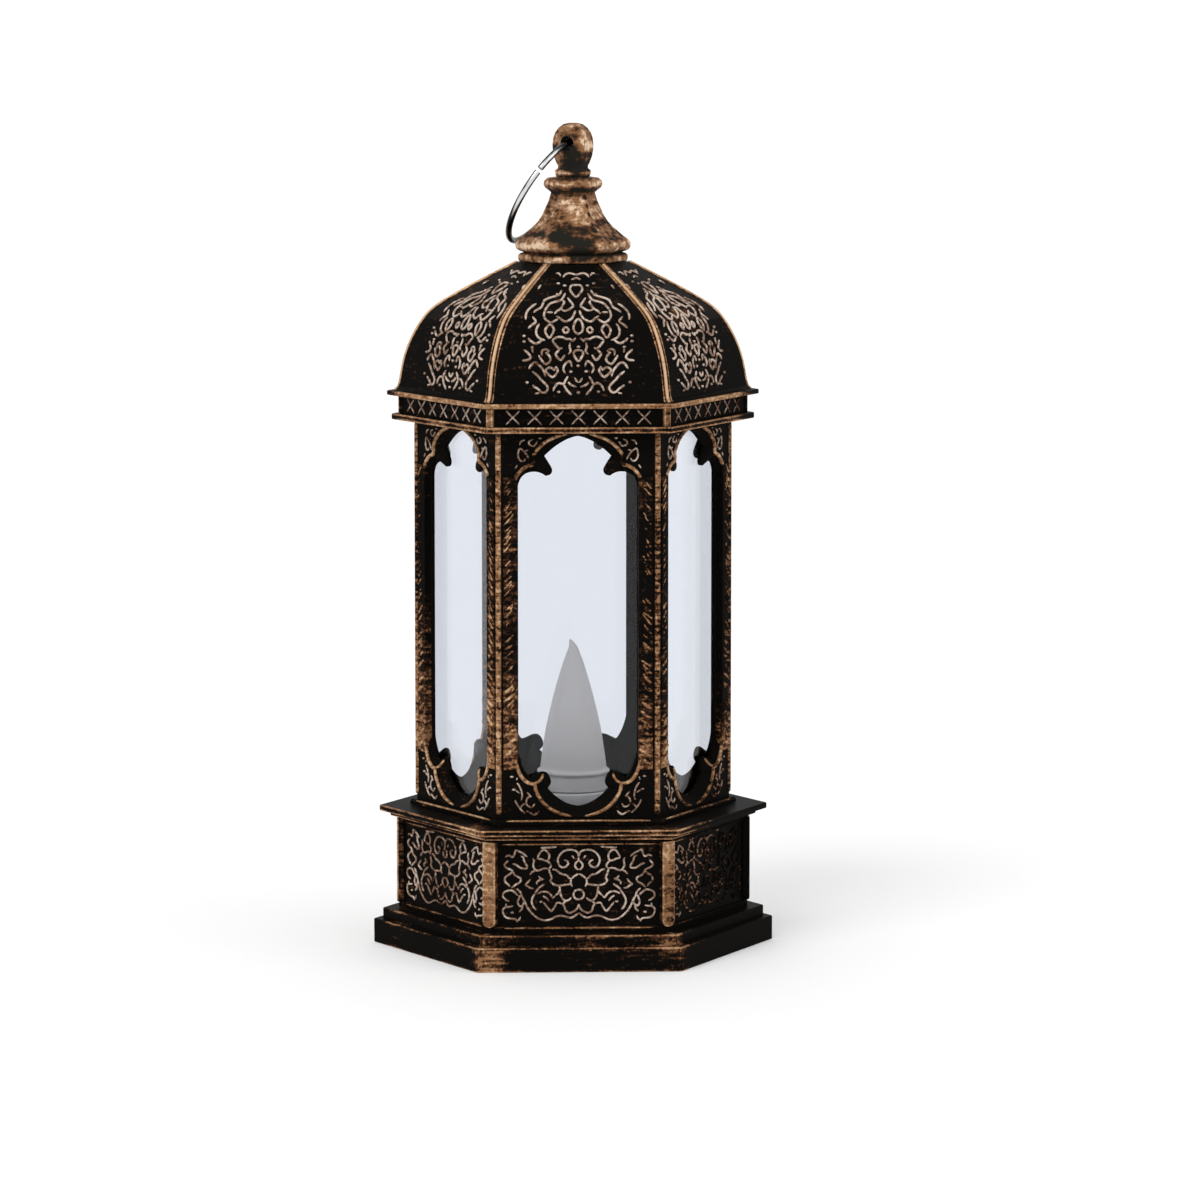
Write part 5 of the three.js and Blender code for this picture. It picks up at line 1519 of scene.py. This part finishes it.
class LANTERN_OT_ring(bpy.types.Operator):
    """Makes the split wire ring that the lantern hangs by"""
    bl_idname = "lantern.ring"
    bl_label = "Hanging ring"

    def execute(self, context):
        front = Vector((-math.sin(RING_TURN), -math.cos(RING_TURN), 0))
        side = Vector((-math.cos(RING_TURN), math.sin(RING_TURN), 0))
        down = side * math.sin(RING_LEAN) - UP * math.cos(RING_LEAN)
        sag = RING_RADIUS - math.sqrt(RING_RADIUS ** 2 - RING_REACH ** 2)
        start = Vector((0, 0, HOLE_Z)) - down * (sag / 2)
        half_gap = RING_GAP / RING_RADIUS / 2
        points = []
        for i in range(RING_STEPS + 1):
            t = RING_GAP_TURN + half_gap + (math.tau - 2 * half_gap) * i / RING_STEPS
            points.append(start + (down * (1 - math.cos(t)) + front * math.sin(t)) * RING_RADIUS)
        radius = context.scene.lantern_sizes.wire_radius
        tubes("ring_wire", [(points, False, 1.0)], radius, material("nickel wire", fill_bright_wire), rub=0.0,
              resolution=4, taper=False, sharp=70, body="ring", slot="steel", replaced=("hanging_ring",))
        return {"FINISHED"}


# Flame, underside and inner parts

class LANTERN_OT_flame(bpy.types.Operator):
    """Makes the frosted flame and the dish that it stands in"""
    bl_idname = "lantern.flame"
    bl_label = "Flame"

    def execute(self, context):
        outer = [(max(0.0, radius), z) for radius, z in smooth_line(FLAME_PROFILE, step=0.45)]
        inner = [(radius - FLAME_WALL, z - FLAME_WALL_DROP) for radius, z in outer
                 if radius > FLAME_HOLLOW_RADIUS and FLAME_HOLLOW[0] < z < FLAME_HOLLOW[1]]
        bm = bmesh.new()
        for profile in (outer, [(0, FLAME_INSIDE_TOP), *reversed(inner), FLAME_INSIDE_FOOT, outer[0]]):
            verts = [bm.verts.new((radius, 0, LENS_Z + z)) for radius, z in profile]
            for pair in zip(verts, verts[1:]):
                bm.edges.new(pair)
        bmesh.ops.spin(bm, geom=[*bm.verts, *bm.edges], cent=(0, 0, 0), axis=UP, angle=math.tau, steps=64,
                       use_merge=True, use_duplicate=False)
        bmesh.ops.remove_doubles(bm, verts=bm.verts, dist=0.001)
        for vertex in bm.verts:
            above = max(0.0, vertex.co.z - (LENS_Z + FLAME_BEND_Z))
            vertex.co.x -= FLAME_BEND * above ** FLAME_BEND_POWER
        settings = {"slot": "frosted_plastic"}
        finish_piece("flame_candle", bm, frosted(), replaced=("flame_lens",), sharp=40, **settings)
        dish = copy_node("candle_sleeve", 0.25, 40, segments=3)
        finish_piece("candle_dish", dish, frosted(), replaced=("candle_sleeve",), **settings)
        return {"FINISHED"}


class LANTERN_OT_underside(bpy.types.Operator):
    """Makes the base plate, the battery cap and the switch knob, and gives the inner parts their finishes"""
    bl_idname = "lantern.underside"
    bl_label = "Underside and inner parts"

    def execute(self, context):
        def plain(name, base, roughness, **settings):
            return material(name, fill_plain, base, roughness, **settings)

        black = plain("black moulded plastic", (0.014, 0.014, 0.015), 0.5, grain=2.5, bump=0.12)
        for node, name, body in (
            ("base_plate", "base_plate_moulding", "lantern"),
            ("battery_cap", "battery_cap_moulding", "cap"),
            ("switch_slider", "switch_knob", "switch"),
        ):
            moulding = copy_node(node, 0.1, 50)
            finish_piece(name, moulding, black, body=body, slot="black_plastic", replaced=(node,))
        finishes = {
            "steel": plain("bright steel", (0.55, 0.55, 0.56), 0.3, metallic=1.0, tone=0.15),
            "contact_brass": plain("contact brass", (0.62, 0.44, 0.19), 0.35, metallic=1.0),
            "board": plain("circuit board", (0.03, 0.16, 0.08), 0.45, grain=1.5, tone=0.3),
            "diode_epoxy": plain("diode epoxy", (0.80, 0.74, 0.55), 0.2),
            "red_insulation": plain("red insulation", (0.42, 0.02, 0.015), 0.4),
            "black_insulation": plain("black insulation", (0.012, 0.012, 0.012), 0.4),
            "clear_sheet": material("clear lavender sheet", fill_clear_sheet),
        }
        slots = {entry["node"]: entry["material_slot"] for entry in frame["record"]["subparts"]}
        for node, thing in frame["nodes"].items():
            if slots[node] in finishes:
                thing.data.materials.clear()
                thing.data.materials.append(finishes[slots[node]])
        return {"FINISHED"}


STEPS = (
    LANTERN_OT_stage, LANTERN_OT_plinth, LANTERN_OT_plinth_scrolls, LANTERN_OT_cage,
    LANTERN_OT_window_lines, LANTERN_OT_posts, LANTERN_OT_roof, LANTERN_OT_spire, LANTERN_OT_ring,
    LANTERN_OT_flame, LANTERN_OT_underside,
)


class LANTERN_PT_panel(bpy.types.Panel):
    """Lists the lantern's sizes, colours and steps"""
    bl_idname = "LANTERN_PT_panel"
    bl_label = "Lantern night light"
    bl_space_type = "VIEW_3D"
    bl_region_type = "UI"
    bl_category = "Lantern"

    def draw(self, context):
        for group in (context.scene.lantern_sizes, context.scene.lantern_colours):
            for name in group.__annotations__:
                self.layout.prop(group, name)
        for step in STEPS:
            self.layout.operator(step.bl_idname)


CLASSES = (LanternSizes, LanternColours, *STEPS, LANTERN_PT_panel)


def register():
    for cls in CLASSES:
        bpy.utils.register_class(cls)
    bpy.types.Scene.lantern_sizes = bpy.props.PointerProperty(type=LanternSizes)
    bpy.types.Scene.lantern_colours = bpy.props.PointerProperty(type=LanternColours)


def unregister():
    del bpy.types.Scene.lantern_colours
    del bpy.types.Scene.lantern_sizes
    for cls in reversed(CLASSES):
        bpy.utils.unregister_class(cls)


def main():
    register()
    for step in STEPS:
        group, name = step.bl_idname.split(".")
        getattr(getattr(bpy.ops, group), name)()


if __name__ == "__main__":
    main()
